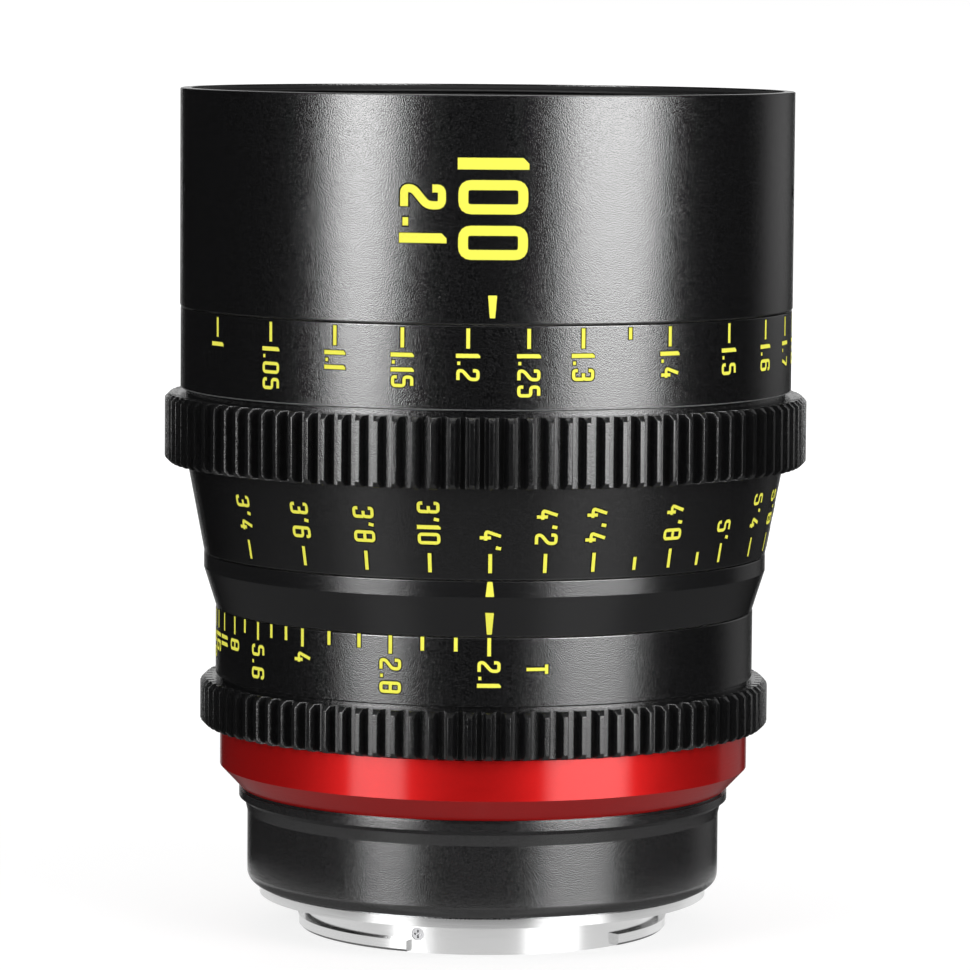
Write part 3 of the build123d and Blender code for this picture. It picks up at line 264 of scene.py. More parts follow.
class Finish(NodeTree):
    """One material, with short calls for the patterns that the finishes share."""

    def __init__(self, name, colour, metallic=0.0, roughness=0.5, ior=1.5, **sockets):
        self.material = bpy.data.materials.new(name)
        self.material.use_nodes = True
        super().__init__(self.material.node_tree)
        self.shader = self.tree.nodes["Principled BSDF"]
        self.shader.inputs["Base Color"].default_value = (*colour, 1.0)
        self.shader.inputs["Metallic"].default_value = metallic
        self.shader.inputs["Roughness"].default_value = roughness
        self.shader.inputs["IOR"].default_value = ior
        for socket, value in sockets.items():
            self.shader.inputs[socket.replace("_", " ")].default_value = value
        self.place = self.node("ShaderNodeTexCoord").outputs["Object"]

    def stretched(self, scale):
        """Object coordinates scaled by axis, for grain that runs one way."""
        mapping = self.node("ShaderNodeMapping")
        mapping.inputs["Scale"].default_value = scale
        self.link(self.place, mapping.inputs["Vector"])
        return mapping.outputs["Vector"]

    def round_axis(self, around, along):
        """Coordinates wound round the lens axis: turns times around, and height times along."""
        parts = self.node("ShaderNodeSeparateXYZ")
        self.link(self.place, parts.inputs[0])
        turn = self.value("ARCTAN2", parts.outputs["Y"], parts.outputs["X"])
        wound = self.node("ShaderNodeCombineXYZ")
        wide = self.value("MULTIPLY", turn, around)
        tall = self.value("MULTIPLY", parts.outputs["Z"], along)
        self.fill(wound, (wide, tall))
        return wound.outputs[0]

    def noise(self, place, scale, detail):
        made = self.node("ShaderNodeTexNoise")
        made.inputs["Scale"].default_value = scale
        made.inputs["Detail"].default_value = detail
        made.inputs["Roughness"].default_value = NOISE_ROUGHNESS
        self.link(place, made.inputs["Vector"])
        return made.outputs["Fac"]

    def bump(self, value, strength, depth, under=None):
        """Relief of a pattern, its full depth in millimetres."""
        made = self.node("ShaderNodeBump")
        made.inputs["Strength"].default_value = strength
        made.inputs["Distance"].default_value = depth * MM
        self.link(value, made.inputs["Height"])
        if under is not None:
            self.link(under, made.inputs["Normal"])
        self.link(made.outputs["Normal"], self.shader.inputs["Normal"])
        return made.outputs["Normal"]

    def follow(self, pattern, tones=(), rough=(), relief=()):
        """The material, with a colour, a roughness and a relief that follow one pattern."""
        if tones:
            self.tint(pattern, *tones)
        if rough:
            self.vary_roughness(pattern, *rough)
        if relief:
            self.bump(pattern, *relief)
        return self.material

    def tint(self, value, dark, light):
        """Base colour that follows a pattern."""
        ramp = self.node("ShaderNodeValToRGB")
        for stop, place, colour in zip(ramp.color_ramp.elements, PATTERN_RANGE, (dark, light)):
            stop.position = place
            stop.color = (*colour, 1.0)
        self.link(value, ramp.inputs["Fac"])
        self.link(ramp.outputs["Color"], self.shader.inputs["Base Color"])

    def vary_roughness(self, value, low, high, lowest=PATTERN_RANGE[0], highest=PATTERN_RANGE[1]):
        """Roughness that follows a pattern."""
        made = self.node("ShaderNodeMapRange")
        self.fill(made, (value, lowest, highest, low, high))
        self.link(made.outputs["Result"], self.shader.inputs["Roughness"])


def shade(colour, factor):
    return tuple(min(1.0, part * factor) for part in colour)


def blasted(finish, colour, dark, light, low, high):
    """Bead-blasted grain: two sizes of relief, with a colour and a roughness that follow the larger one."""
    coarse = finish.noise(finish.place, COARSE_GRAIN, detail=0.0)
    fine = finish.noise(finish.place, FINE_GRAIN, detail=0.0)
    under = finish.bump(coarse, 1.0, 0.0150)
    finish.bump(fine, 1.0, 0.0105, under)
    return finish.follow(coarse, (shade(colour, dark), shade(colour, light)), rough=(low, high))


def barrel_black():
    finish = Finish("blasted_black", colours().black, roughness=0.15, ior=2.4)
    return blasted(finish, colours().black, 0.3, 2.4, 0.13, 0.25)


def gear_black():
    finish = Finish("gear_black", colours().black, roughness=0.19, ior=2.15)
    fine = finish.noise(finish.place, COARSE_GRAIN, detail=0.0)
    tones = (shade(colours().black, 0.6), shade(colours().black, 1.7))
    return finish.follow(fine, tones, rough=(0.16, 0.27), relief=(1.0, 0.016))


def speckled_edge(name, dark, light, low, high):
    """Bare metal of a ring's edge, between two greys and two roughnesses."""
    finish = Finish(name, ((dark + light) / 2,) * 3, metallic=1.0, roughness=(low + high) / 2)
    fine = finish.noise(finish.place, 5200.0, detail=1.0)
    tones = ((dark, dark, dark + 0.002), (light, light, light + 0.002))
    return finish.follow(fine, tones, rough=(low, high))


def ring_edge():
    return speckled_edge("ring_edge", 0.22, 0.38, 0.18, 0.26)


def bare_edge():
    return speckled_edge("bare_edge", 0.62, 0.78, 0.48, 0.62)


def smooth_black():
    finish = Finish("smooth_black", (0.009, 0.009, 0.0095), roughness=0.17, ior=2.1)
    fine = finish.noise(finish.place, COARSE_GRAIN, detail=0.0)
    return finish.follow(fine, rough=(0.15, 0.24), relief=(1.0, 0.014))


def rear_grey():
    finish = Finish("satin_grey", colours().rear, roughness=0.13, ior=2.6)
    return blasted(finish, colours().rear, 0.5, 1.5, 0.12, 0.22)


def inner_black():
    finish = Finish("inner_black", (0.006, 0.006, 0.0065), roughness=0.62, ior=1.45)
    fine = finish.noise(finish.place, 4200.0, detail=2.0)
    return finish.follow(fine, rough=(0.55, 0.72), relief=(0.20, 0.010))


def trim_black():
    finish = Finish("trim_black", (0.004, 0.004, 0.0042), roughness=0.45, ior=1.45)
    fine = finish.noise(finish.place, 5200.0, detail=1.0)
    return finish.follow(fine, rough=(0.36, 0.50), relief=(0.18, 0.008))


def red_anodised():
    finish = Finish(
        "red_anodised", colours().red, metallic=0.78, roughness=0.44, ior=1.6,
        Coat_Weight=0.8, Coat_Roughness=0.12, Coat_IOR=1.8)
    turned = finish.noise(finish.round_axis(6.0, 5200.0), 1.0, detail=2.0)
    fine = finish.noise(finish.place, 2400.0, detail=3.0)
    finish.tint(fine, shade(colours().red, 0.96), shade(colours().red, 1.02))
    return finish.follow(turned, rough=(0.40, 0.48), relief=(0.12, 0.004))


def bayonet_chrome():
    finish = Finish("bayonet_chrome", (0.86, 0.86, 0.86), metallic=1.0, roughness=0.18)
    rings = finish.noise(finish.round_axis(3.0, 5200.0), 1.0, detail=2.0)
    tones = ((0.82, 0.82, 0.82), (0.90, 0.90, 0.90))
    return finish.follow(rings, tones, rough=(0.14, 0.24), relief=(0.12, 0.003))


def steel():
    finish = Finish("bright_steel", (0.55, 0.55, 0.56), metallic=1.0, roughness=0.26)
    fine = finish.noise(finish.stretched((1.0, 1.0, 3.0)), 4200.0, detail=2.0)
    return finish.follow(fine, ((0.46, 0.46, 0.47), (0.62, 0.62, 0.63)), rough=(0.20, 0.36))


def dark_steel():
    finish = Finish("dark_steel", (0.05, 0.05, 0.053), metallic=0.9, roughness=0.32)
    fine = finish.noise(finish.place, 5200.0, detail=2.0)
    return finish.follow(fine, ((0.035, 0.035, 0.037), (0.075, 0.075, 0.08)), rough=(0.26, 0.42))


def blade_steel():
    finish = Finish("blade_steel", (0.022, 0.022, 0.024), metallic=0.6, roughness=0.42)
    brushed = finish.noise(finish.stretched((1.0, 12.0, 1.0)), 900.0, detail=3.0)
    return finish.follow(brushed, ((0.016, 0.016, 0.018), (0.032, 0.032, 0.036)), rough=(0.34, 0.52))


def cam_brass():
    finish = Finish("cam_brass", (0.60, 0.42, 0.15), metallic=1.0, roughness=0.34)
    turned = finish.noise(finish.round_axis(2.0, 6000.0), 1.0, detail=2.0)
    return finish.follow(turned, ((0.50, 0.34, 0.11), (0.68, 0.49, 0.20)), rough=(0.26, 0.44))


def bearing_plastic():
    finish = Finish("bearing_plastic", (0.72, 0.70, 0.64), roughness=0.45)
    fine = finish.noise(finish.place, 2400.0, detail=2.0)
    return finish.follow(fine, ((0.66, 0.64, 0.58), (0.76, 0.74, 0.68)), relief=(0.10, 0.010))


def coated_glass():
    finish = Finish(
        "coated_glass", (0.95, 0.99, 0.96), roughness=0.0, ior=1.6, Transmission_Weight=1.0,
        Thin_Film_Thickness=118.0, Thin_Film_IOR=1.38)
    dust = finish.noise(finish.place, 900.0, detail=4.0)
    return finish.follow(dust, rough=(0.0, 0.012, 0.62, 0.75))


def marking_paint():
    finish = Finish("marking_paint", colours().paint, roughness=0.6, ior=1.25)
    fine = finish.noise(finish.place, 3200.0, detail=2.0)
    tones = (shade(colours().paint, 0.96), shade(colours().paint, 1.0))
    return finish.follow(fine, tones, relief=(0.10, 0.008))


def marking_edge():
    finish = Finish("marking_edge", (0.004, 0.004, 0.004), roughness=0.7, ior=1.3)
    fine = finish.noise(finish.place, 5200.0, detail=1.0)
    return finish.follow(fine, rough=(0.62, 0.8))


FINISHES = {
    maker.__name__: maker for maker in (
        barrel_black, gear_black, smooth_black, rear_grey, inner_black, trim_black, red_anodised,
        bayonet_chrome, steel, dark_steel, blade_steel, cam_brass, bearing_plastic, coated_glass,
        marking_paint, marking_edge, ring_edge, bare_edge)}
made_finishes = {}


def finish_of(name):
    """The finish of that name, made once."""
    if name not in made_finishes:
        made_finishes[name] = FINISHES[name]()
    return made_finishes[name]


# Modelling helpers

WELD_DISTANCE = 0.0004      # corners closer than this, in millimetres, become one
CUT_DISTANCE = 0.0001       # corners closer than this to a cutting plane lie in it
SMOOTH_ANGLE = 32.0         # faces that meet at less than this, in degrees, are shaded as one
SHARP_ANGLE = 20.0          # faces of a tooth that meet at more than this get a rounded edge
RING_STEPS = 360


def placed(name, data):
    """A new object in the scene."""
    made = bpy.data.objects.new(name, data)
    bpy.context.scene.collection.objects.link(made)
    return made


def mesh_data(mesh, name):
    """Mesh data from a bmesh, which is used up."""
    data = bpy.data.meshes.new(name)
    mesh.to_mesh(data)
    mesh.free()
    return data


def raised(mesh, faces, height):
    """Extrudes faces upwards and returns their raised corners."""
    grown = bmesh.ops.extrude_face_region(mesh, geom=faces)["geom"]
    risen = [part for part in grown if isinstance(part, bmesh.types.BMVert)]
    bmesh.ops.translate(mesh, verts=risen, vec=(0, 0, height * MM))
    return risen


def shown(name, data, finish, body, replaced=()):
    """A finished piece: named, finished, riding on a body and standing for CAD nodes."""
    piece = placed(name, data)
    data.materials.append(finish_of(finish))
    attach(piece, body)
    if replaced:
        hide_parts(*replaced)
    return piece


def closed(mesh, name):
    """Mesh data from a bmesh whose walls are closed, with its faces outwards."""
    bmesh.ops.remove_doubles(mesh, verts=mesh.verts, dist=WELD_DISTANCE * MM)
    bmesh.ops.recalc_face_normals(mesh, faces=mesh.faces)
    for face in mesh.faces:
        face.smooth = True
    for edge in mesh.edges:
        edge.smooth = len(edge.link_faces) == 2 and edge.calc_face_angle(0.0) < radians(SMOOTH_ANGLE)
    return mesh_data(mesh, name)


def spun(outline):
    """Ring turned about the lens axis from an outline of (radius, height), in millimetres."""
    mesh = bmesh.new()
    corners = [mesh.verts.new((r * MM, 0.0, z * MM)) for r, z in outline]
    edges = [mesh.edges.new((corners[i - 1], corners[i])) for i in range(len(corners))]
    bmesh.ops.spin(
        mesh, geom=corners + edges, cent=(0, 0, 0), axis=(0, 0, 1), angle=2 * pi, steps=RING_STEPS,
        use_merge=True, use_duplicate=False)
    return mesh


def gear_ring(node, name, teeth, root, seat, body):
    """Gear ring: one tooth is modelled, its ends are cut at 45 degrees, it is rounded, and it is spun."""
    low, high, tip = foot_of(node), top_of(node), radius_of(node)
    mesh = bmesh.new()
    step = 2 * pi / teeth
    pitch = (tip + root) / 2
    flank = [(root, 0.5), (root, ROOT_SHARE), (pitch, PITCH_SHARE), (tip, TIP_SHARE)]
    outline = [(r, -share) for r, share in flank] + [(r, share) for r, share in reversed(flank)]
    outline += [(seat, 0.5), (seat, -0.5)]
    corners = [
        mesh.verts.new((r * MM * cos(share * step), r * MM * sin(share * step), low * MM))
        for r, share in outline]
    raised(mesh, [mesh.faces.new(corners)], high - low)
    sides = [
        wall for wall in mesh.faces
        if len({round(atan2(v.co.y, v.co.x) / step, 3) for v in wall.verts}) == 1]
    mesh.normal_update()
    bmesh.ops.delete(mesh, geom=sides, context="FACES_ONLY")
    for level, way in ((high, 1.0), (low, -1.0)):
        cut = bmesh.ops.bisect_plane(
            mesh, geom=mesh.verts[:] + mesh.edges[:] + mesh.faces[:], dist=CUT_DISTANCE * MM,
            plane_co=((tip - TOOTH_END_CHAMFER) * MM, 0, level * MM), plane_no=(1.0, 0.0, way),
            clear_outer=True)
        rim = [part for part in cut["geom_cut"] if isinstance(part, bmesh.types.BMEdge)]
        bmesh.ops.contextual_create(mesh, geom=rim)
    bmesh.ops.recalc_face_normals(mesh, faces=mesh.faces)
    sharp = [
        line for line in mesh.edges
        if len(line.link_faces) == 2 and line.calc_face_angle(0.0) > radians(SHARP_ANGLE)
        and min(hypot(v.co.x, v.co.y) for v in line.verts) > (root - ROOT_MARGIN) * MM]
    bmesh.ops.bevel(
        mesh, geom=sharp, offset=sizes().tooth_round * MM, offset_type="OFFSET", affect="EDGES", segments=2,
        profile=0.5, material=-1, clamp_overlap=True)
    bmesh.ops.spin(
        mesh, geom=mesh.verts[:] + mesh.edges[:] + mesh.faces[:], cent=(0, 0, 0), axis=(0, 0, 1),
        angle=2 * pi, steps=teeth, use_merge=False, use_duplicate=True)
    ring = shown(name, closed(mesh, name), "gear_black", body, [node])
    even = ring.modifiers.new("Even shading", "WEIGHTED_NORMAL")    # keeps the walls flat beside roundings
    even.keep_sharp = True


def edge_band(name, body, radius, height, size, upward, finish="ring_edge"):
    """Fine rounding along an outer corner: a quarter round that rises just over the corner's chamfer."""
    sunk = 0.012
    arc_steps = 5
    way = 1.0 if upward else -1.0
    centre_radius = radius - size - sunk
    centre_height = height - way * (size + sunk)
    outline = [(centre_radius, centre_height)]
    for i in range(arc_steps + 1):
        turn = pi / 2 * i / arc_steps
        outline.append((centre_radius + size * cos(turn), centre_height + way * size * sin(turn)))
    return shown(name, closed(spun(outline), name), finish, body)


# Markings

GRID_WIDTH = 4
GRID_HEIGHT = 8
# Strokes of the digits on that grid; a loop returns to its start, "~" is infinity
STROKES = {
    "0": [("loop", (0, 0), (4, 0), (4, 8), (0, 8))],
    "1": [("bar", (0, 0), (0, 8))],
    "2": [("line", (0, 6), (0, 8), (4, 8), (4, 4.9), (0, 1.9), (0, 0), (4.3, 0))],
    "3": [
        ("line", (0, 6.3), (0, 8), (4, 8), (4, 4.1), (1.3, 4.1)),
        ("line", (4, 4.1), (4, 0), (0, 0), (0, 1.7))],
    "4": [("line", (2.4, 8.2), (0, 2.1), (4.4, 2.1)), ("line", (3.1, 4.2), (3.1, -0.3))],
    "5": [("line", (4, 8), (0, 8), (0, 4.8), (4, 4.8), (4, 0), (0, 0), (0, 1.8))],
    "6": [("line", (4, 6.4), (4, 8), (0, 8), (0, 0), (4, 0), (4, 4.6), (0, 4.6))],
    "7": [("line", (0, 8), (4, 8), (1.5, -0.2))],
    "8": [("loop", (0, 0), (4, 0), (4, 8), (0, 8)), ("line", (0, 4.1), (4, 4.1))],
    "9": [("line", (0, 1.6), (0, 0), (4, 0), (4, 8), (0, 8), (0, 3.4), (4, 3.4))],
    ".": [("line", (0, -0.3), (0, 0.9))],
    "'": [("line", (0.5, 8.3), (0, 6.2))],
    "T": [("line", (0, 8), (4.4, 8)), ("line", (2.2, 8), (2.2, -0.3))],
    "~": [
        ("loop", (0, 2.4), (3.4, 2.4), (3.4, 5.6), (0, 5.6)),
        ("loop", (3.4, 2.4), (6.8, 2.4), (6.8, 5.6), (3.4, 5.6))],
}
GLYPH_WIDTHS = {"1": 0.0, ".": 0.0, "'": 0.5, "T": 4.4, "~": 6.8, "4": 4.4}
CORNER = 1.35               # reach of a rounded corner on the grid
CORNER_STEPS = 4
STROKE_STEP = 0.7           # longest straight piece of a stroke, in millimetres
ROUND_UP = 0.999            # added before a number is cut to a whole one
BAR_STEP = 0.8              # height of a slice of a bar, in millimetres
DIGIT_WIDTH = 0.53          # over the digit's height, as is the gap
DIGIT_GAP = 0.135
EDGE_RISE = 0.6             # height of the dark edge over the height of the paint


def rounded_path(points, loop, turn):
    """The points of a stroke with its corners rounded by short arcs."""
    path = []
    count = len(points)
    for i, corner in enumerate(points):
        at = Vector(corner)
        if not loop and i in (0, count - 1):
            path.append(at)
            continue
        before = Vector(points[i - 1]) - at
        after = Vector(points[(i + 1) % count]) - at
        reach = min(turn, before.length / 2, after.length / 2)
        start = at + before.normalized() * reach
        end = at + after.normalized() * reach
        for j in range(CORNER_STEPS + 1):
            share = j / CORNER_STEPS
            path.append(start.lerp(at, share).lerp(at.lerp(end, share), share))
    return path


def stroke_mesh(strokes, width, height, grow=0.0):
    """Flat mesh of strokes: each is (points, kind), in millimetres, drawn with one width and one height."""
    curve = bpy.data.curves.new("strokes", "CURVE")
    curve.dimensions = "3D"
    curve.bevel_depth = width * MM / 2
    curve.bevel_resolution = 2
    curve.use_fill_caps = True
    for points, kind in strokes:
        if kind == "bar":
            continue
        loop = kind == "loop"
        dense = []
        ends = list(zip(points, points[1:] + points[:1])) if loop else list(zip(points, points[1:]))
        for start, end in ends:
            pieces = max(1, int((end - start).length / STROKE_STEP + ROUND_UP))
            dense += [start.lerp(end, i / pieces) for i in range(pieces)]
        if not loop:
            dense.append(points[-1])
        spline = curve.splines.new("POLY")
        spline.points.add(len(dense) - 1)
        for point, place in zip(spline.points, dense):
            point.co = (place.x * MM, place.y * MM, 0.0, 1.0)
        spline.use_cyclic_u = loop
    holder = placed("strokes", curve)
    bpy.context.view_layer.update()
    data = bpy.data.meshes.new_from_object(holder.evaluated_get(bpy.context.evaluated_depsgraph_get()))
    bpy.data.objects.remove(holder)
    bpy.data.curves.remove(curve)
    data.transform(Matrix.Diagonal((1.0, 1.0, 2 * height / width, 1.0)))
    mesh = bmesh.new()
    mesh.from_mesh(data)
    for points, kind in strokes:
        if kind == "bar":
            cut_bar(mesh, points, width, height, grow)
    mesh.to_mesh(data)
    mesh.free()
    return data


def cut_bar(mesh, points, width, height, grow):
    """Adds the upright bar of a one, its top left corner cut, in slices so that it can be wrapped."""
    foot, top = points
    half = width / 2
    cut = half - grow
    low, high = foot.y - half, top.y + half
    outline = (
        (foot.x - half, low), (foot.x + half, low), (foot.x + half, high), (foot.x, high),
        (foot.x - half, high - cut))
    bar = bmesh.new()
    face = bar.faces.new([bar.verts.new((x * MM, y * MM, -height * MM)) for x, y in outline])
    raised(bar, [face], 2 * height)
    slices = int((high - low) / BAR_STEP)
    for i in range(1, slices):
        bmesh.ops.bisect_plane(
            bar, geom=bar.verts[:] + bar.edges[:] + bar.faces[:],
            plane_co=(0, (low + (high - low) * i / slices) * MM, 0), plane_no=(0, 1, 0))
    bmesh.ops.recalc_face_normals(bar, faces=bar.faces)
    data = mesh_data(bar, "bar")
    mesh.from_mesh(data)
    bpy.data.meshes.remove(data)


def number_strokes(text, cap, stroke, wide):
    """Strokes of a number with its length, baseline at zero, in millimetres."""
    unit_x = (cap * wide - stroke) / GRID_WIDTH
    unit_y = (cap - stroke) / GRID_HEIGHT
    gap = DIGIT_GAP * cap
    strokes = []
    along = 0.0
    for letter in text:
        for kind, *points in STROKES[letter]:
            spots = [(along + stroke / 2 + x * unit_x, stroke / 2 + y * unit_y) for x, y in points]
            if kind == "bar":
                strokes.append(([Vector(spot) for spot in spots], "bar"))
            else:
                strokes.append((rounded_path(spots, kind == "loop", CORNER * unit_x), kind))
        along += GLYPH_WIDTHS.get(letter, GRID_WIDTH) * unit_x + stroke + gap
    return strokes, along - gap


def wrapped(data, reach, angle, start):
    """Wraps a flat marking round the lens: its x runs down from a height, its y runs round to the right."""
    for vertex in data.vertices:
        x, y, z = vertex.co / MM
        height = start - x
        radius = reach(height)
        turn = radians(INDEX_SIDE + angle) + y / radius
        radius += z
        vertex.co = Vector((radius * cos(turn), radius * sin(turn), height)) * MM
    return data


def joined(name, meshes, finish, body):
    """One piece from many small meshes."""
    mesh = bmesh.new()
    for data in meshes:
        mesh.from_mesh(data)
        bpy.data.meshes.remove(data)
    for face in mesh.faces:
        face.smooth = False
    bmesh.ops.recalc_face_normals(mesh, faces=mesh.faces)
    return shown(name, mesh_data(mesh, name), finish, body)


def longer(strokes, extra):
    """The strokes with their open ends drawn out, so that the dark edge goes round them."""
    drawn = []
    for points, kind in strokes:
        points = list(points)
        if kind == "line":
            points[0] = points[0] + (points[0] - points[1]).normalized() * extra
            points[-1] = points[-1] + (points[-1] - points[-2]).normalized() * extra
        drawn.append((points, kind))
    return drawn


class Marking:
    """Collects the numbers and ticks of one scale, in paint and in its dark edge."""

    def __init__(self, name, reach, body, slot):
        self.name = name
        self.reach = reach
        self.body = body
        self.slot = slot
        self.paint = []
        self.edge = []

    def add(self, strokes, width, angle, start):
        rise, outline = sizes().paint_height, sizes().outline
        self.paint.append(wrapped(stroke_mesh(strokes, width, rise), self.reach, angle, start))
        drawn = stroke_mesh(longer(strokes, outline), width + 2 * outline, rise * EDGE_RISE, outline)
        self.edge.append(wrapped(drawn, self.reach, angle, start))

    def number(self, text, angle, start=None, end=None, cap=None, stroke=None, wide=DIGIT_WIDTH):
        cap = cap or sizes().digit_height
        stroke = stroke or sizes().digit_stroke
        strokes, length = number_strokes(text, cap, stroke, wide)
        centred = [([p - Vector((0, cap / 2)) for p in points], kind) for points, kind in strokes]
        self.add(centred, stroke, angle, start if start is not None else end + length)

    def tick(self, angle, high, low):
        width = sizes().tick_width
        half = width / 2
        self.add([([Vector((-half, 0)), Vector((high - low - half, 0))], "line")], width, angle, high - half)

    def finish(self):
        joined(self.name + "_paint", self.paint, "marking_paint", self.body)
        joined(self.name + "_edge", self.edge, "marking_edge", self.body)


def focus_angle(metres):
    """Where a distance stands on the ring at rest, in degrees to the right of the index; None is infinity."""
    rest = FOCAL_LENGTH * FOCAL_LENGTH / (REST_DISTANCE - FOCAL_LENGTH)
    if metres is None:
        return TURN_PER_TRAVEL * rest
    return TURN_PER_TRAVEL * (rest - FOCAL_LENGTH * FOCAL_LENGTH / (metres / MM - FOCAL_LENGTH))


def wedge(name, reach, high, low, high_width, low_width):
    """A tapered index mark on the fixed body, in paint with its dark edge."""
    corner_round = 0.12
    sunk_depth = 0.02
    for part, grow, rise, finish in (
            ("paint", 0.0, sizes().paint_height, "marking_paint"),
            ("edge", sizes().outline, sizes().paint_height * EDGE_RISE, "marking_edge")):
        mesh = bmesh.new()
        corners = [
            mesh.verts.new((x * MM, y * MM, 0.0)) for x, y in (
                (-grow, -high_width / 2 - grow), (high - low + grow, -low_width / 2 - grow),
                (high - low + grow, low_width / 2 + grow), (-grow, high_width / 2 + grow))]
        mesh.faces.new(corners)
        bmesh.ops.bevel(
            mesh, geom=corners, offset=corner_round * MM, offset_type="OFFSET", affect="VERTICES",
            segments=3, profile=0.5, material=-1)
        risen = set(raised(mesh, mesh.faces[:], rise))
        sunk = [v for v in mesh.verts if v not in risen]
        bmesh.ops.translate(mesh, verts=sunk, vec=(0, 0, -sunk_depth * MM))
        data = wrapped(mesh_data(mesh, name), reach, 0.0, high)
        joined(f"{name}_{part}", [data], finish, "body")


# Stage

# Soft boxes: name, azimuth from the index side, width, height, distance, radiance, and the strength of the
# painted reflection of their light that only gloss sees on the floor
PANELS = (
    ("left_box", -47.5, 0.54, 1.10, 1.25, 4.9, 1.60),
    ("right_box", 45.5, 0.82, 1.10, 1.25, 4.5, 1.75),
    ("rear_box", 180.0, 0.60, 1.10, 1.30, 0.7, 0.5),
    ("edge_box", 139.0, 0.66, 1.10, 1.30, 0.20, 0.15),
)
DARK_SIDES = 0.010          # what gloss sees between the soft boxes: painted reflection on the floor, and the world's level for gloss
OVERHEAD = 0.14             # and straight above
ROOM_LIGHT = 0.40
FLOOR_GLOW = 0.76           # added to the floor right under the lens, where the camera sees it
PAINTED_REFLECTION_BESIDE = 0.74         # painted reflection: what gloss sees of the floor right beside the lens, along it and from above
# painted reflection that gloss sees of the floor right beside the lens, for steep rays
PAINTED_REFLECTION_BELOW = 0.05
PAINTED_REFLECTION_ROUND = 0.088         # painted reflection that gloss sees of the floor a little further out
FLOOR_SIZE = 60.0
PANEL_EDGES = (1.25, 0.75)  # where a soft box starts and is full, over its half width

# Ranges (start, end, value at start, value at end) by the steepness of a ray or by the distance in metres
# The grazing, horizon, beside and round ranges shape the painted reflection that gloss sees on the floor
GRAZING_STEEP = (0.15, 0.215, 1.0, 0.07)
HORIZON_STEEP = (0.05, 0.115, 0.50, 1.0)
BESIDE_REACH = (0.060, 0.072, 1.0, 0.0)
BESIDE_STEEP = (0.20, 0.36, PAINTED_REFLECTION_BESIDE, PAINTED_REFLECTION_BELOW)
ROUND_REACH = (0.08, 0.36, PAINTED_REFLECTION_ROUND, 0.0)
ROUND_STEEP = (0.18, 0.40, 0.0, 1.0)
GLOW_REACH = (0.05, 0.90, FLOOR_GLOW, 1.0)
OVERHEAD_HEIGHT = (0.55, 0.90, DARK_SIDES, OVERHEAD)

# The lamp overhead: its size, its place and its radiance
TOP_BOX_SIZE = 0.9
TOP_BOX_PLACE = (0.0, 0.35, 1.5)
TOP_BOX_TILT = -13.0
TOP_BOX_RADIANCE = 1.6

# Camera: its focal length in millimetres, its place round the lens and its aim, in metres and degrees
CAMERA_LENS = 194.7
CAMERA_REACH = 0.7448
CAMERA_TURN = 1.1
CAMERA_HEIGHT = 0.1282
CAMERA_AIM = 0.0583
CAMERA_ROLL = 0.43


class StageShader(NodeTree):
    """Node tree of the floor or the backdrop, with short calls for its arithmetic."""

    def __init__(self, tree):
        super().__init__(tree)
        tree.nodes.clear()

    def vector(self, operation, *values):
        made = self.node("ShaderNodeVectorMath", operation=operation)
        self.fill(made, values)
        return made.outputs["Value" if operation in ("LENGTH", "DOT_PRODUCT") else "Vector"]

    def between(self, value, start, end, low, high):
        """A smooth change from low to high as a value goes from start to end."""
        made = self.node("ShaderNodeMapRange", interpolation_type="SMOOTHSTEP")
        self.fill(made, (value, start, end, low, high))
        return made.outputs["Result"]

    def panel(self, around, azimuth, wide, distance):
        """One inside the direction of a soft box and nothing outside it, with a soft edge."""
        half = atan2(wide / 2, distance)
        turn = radians(INDEX_SIDE + azimuth)
        facing = self.vector("DOT_PRODUCT", around, (cos(turn), sin(turn), 0.0))
        start, full = PANEL_EDGES
        return self.between(facing, cos(half * start), cos(half * full), 0.0, 1.0)

    def glow(self, strength):
        made = self.node("ShaderNodeEmission")
        self.link(strength, made.inputs["Strength"])
        return made.outputs[0]


# Operators

class LENS_OT_finishes(bpy.types.Operator):
    """Give every CAD piece its own procedural finish"""

    bl_idname = "lens.finishes"
    bl_label = "Finishes"

    def execute(self, context):
        slots = {entry["node"]: entry["material_slot"] for entry in frame["record"]["subparts"]}
        slots["barrel_set_screws"] = "steel"    # brighter than the other dark screws
        for name, piece in frame["nodes"].items():
            finish = finish_of(slots[name])
            if not piece.material_slots:
                piece.data.materials.append(finish)
            for place in piece.material_slots:
                place.material = finish
        return {"FINISHED"}


class LENS_OT_gears(bpy.types.Operator):
    """Model the focus gear and the iris gear tooth by tooth"""

    bl_idname = "lens.gears"
    bl_label = "Gears"

    def execute(self, context):
        gear_ring(
            "focus_gear", "focus_gear_ring", FOCUS_TEETH, FOCUS_ROOT_RADIUS, FOCUS_SEAT_RADIUS, "focus_ring")
        gear_ring(
            "iris_gear", "iris_gear_ring", IRIS_TEETH, IRIS_ROOT_RADIUS, IRIS_SEAT_RADIUS, "iris_ring")
        return {"FINISHED"}


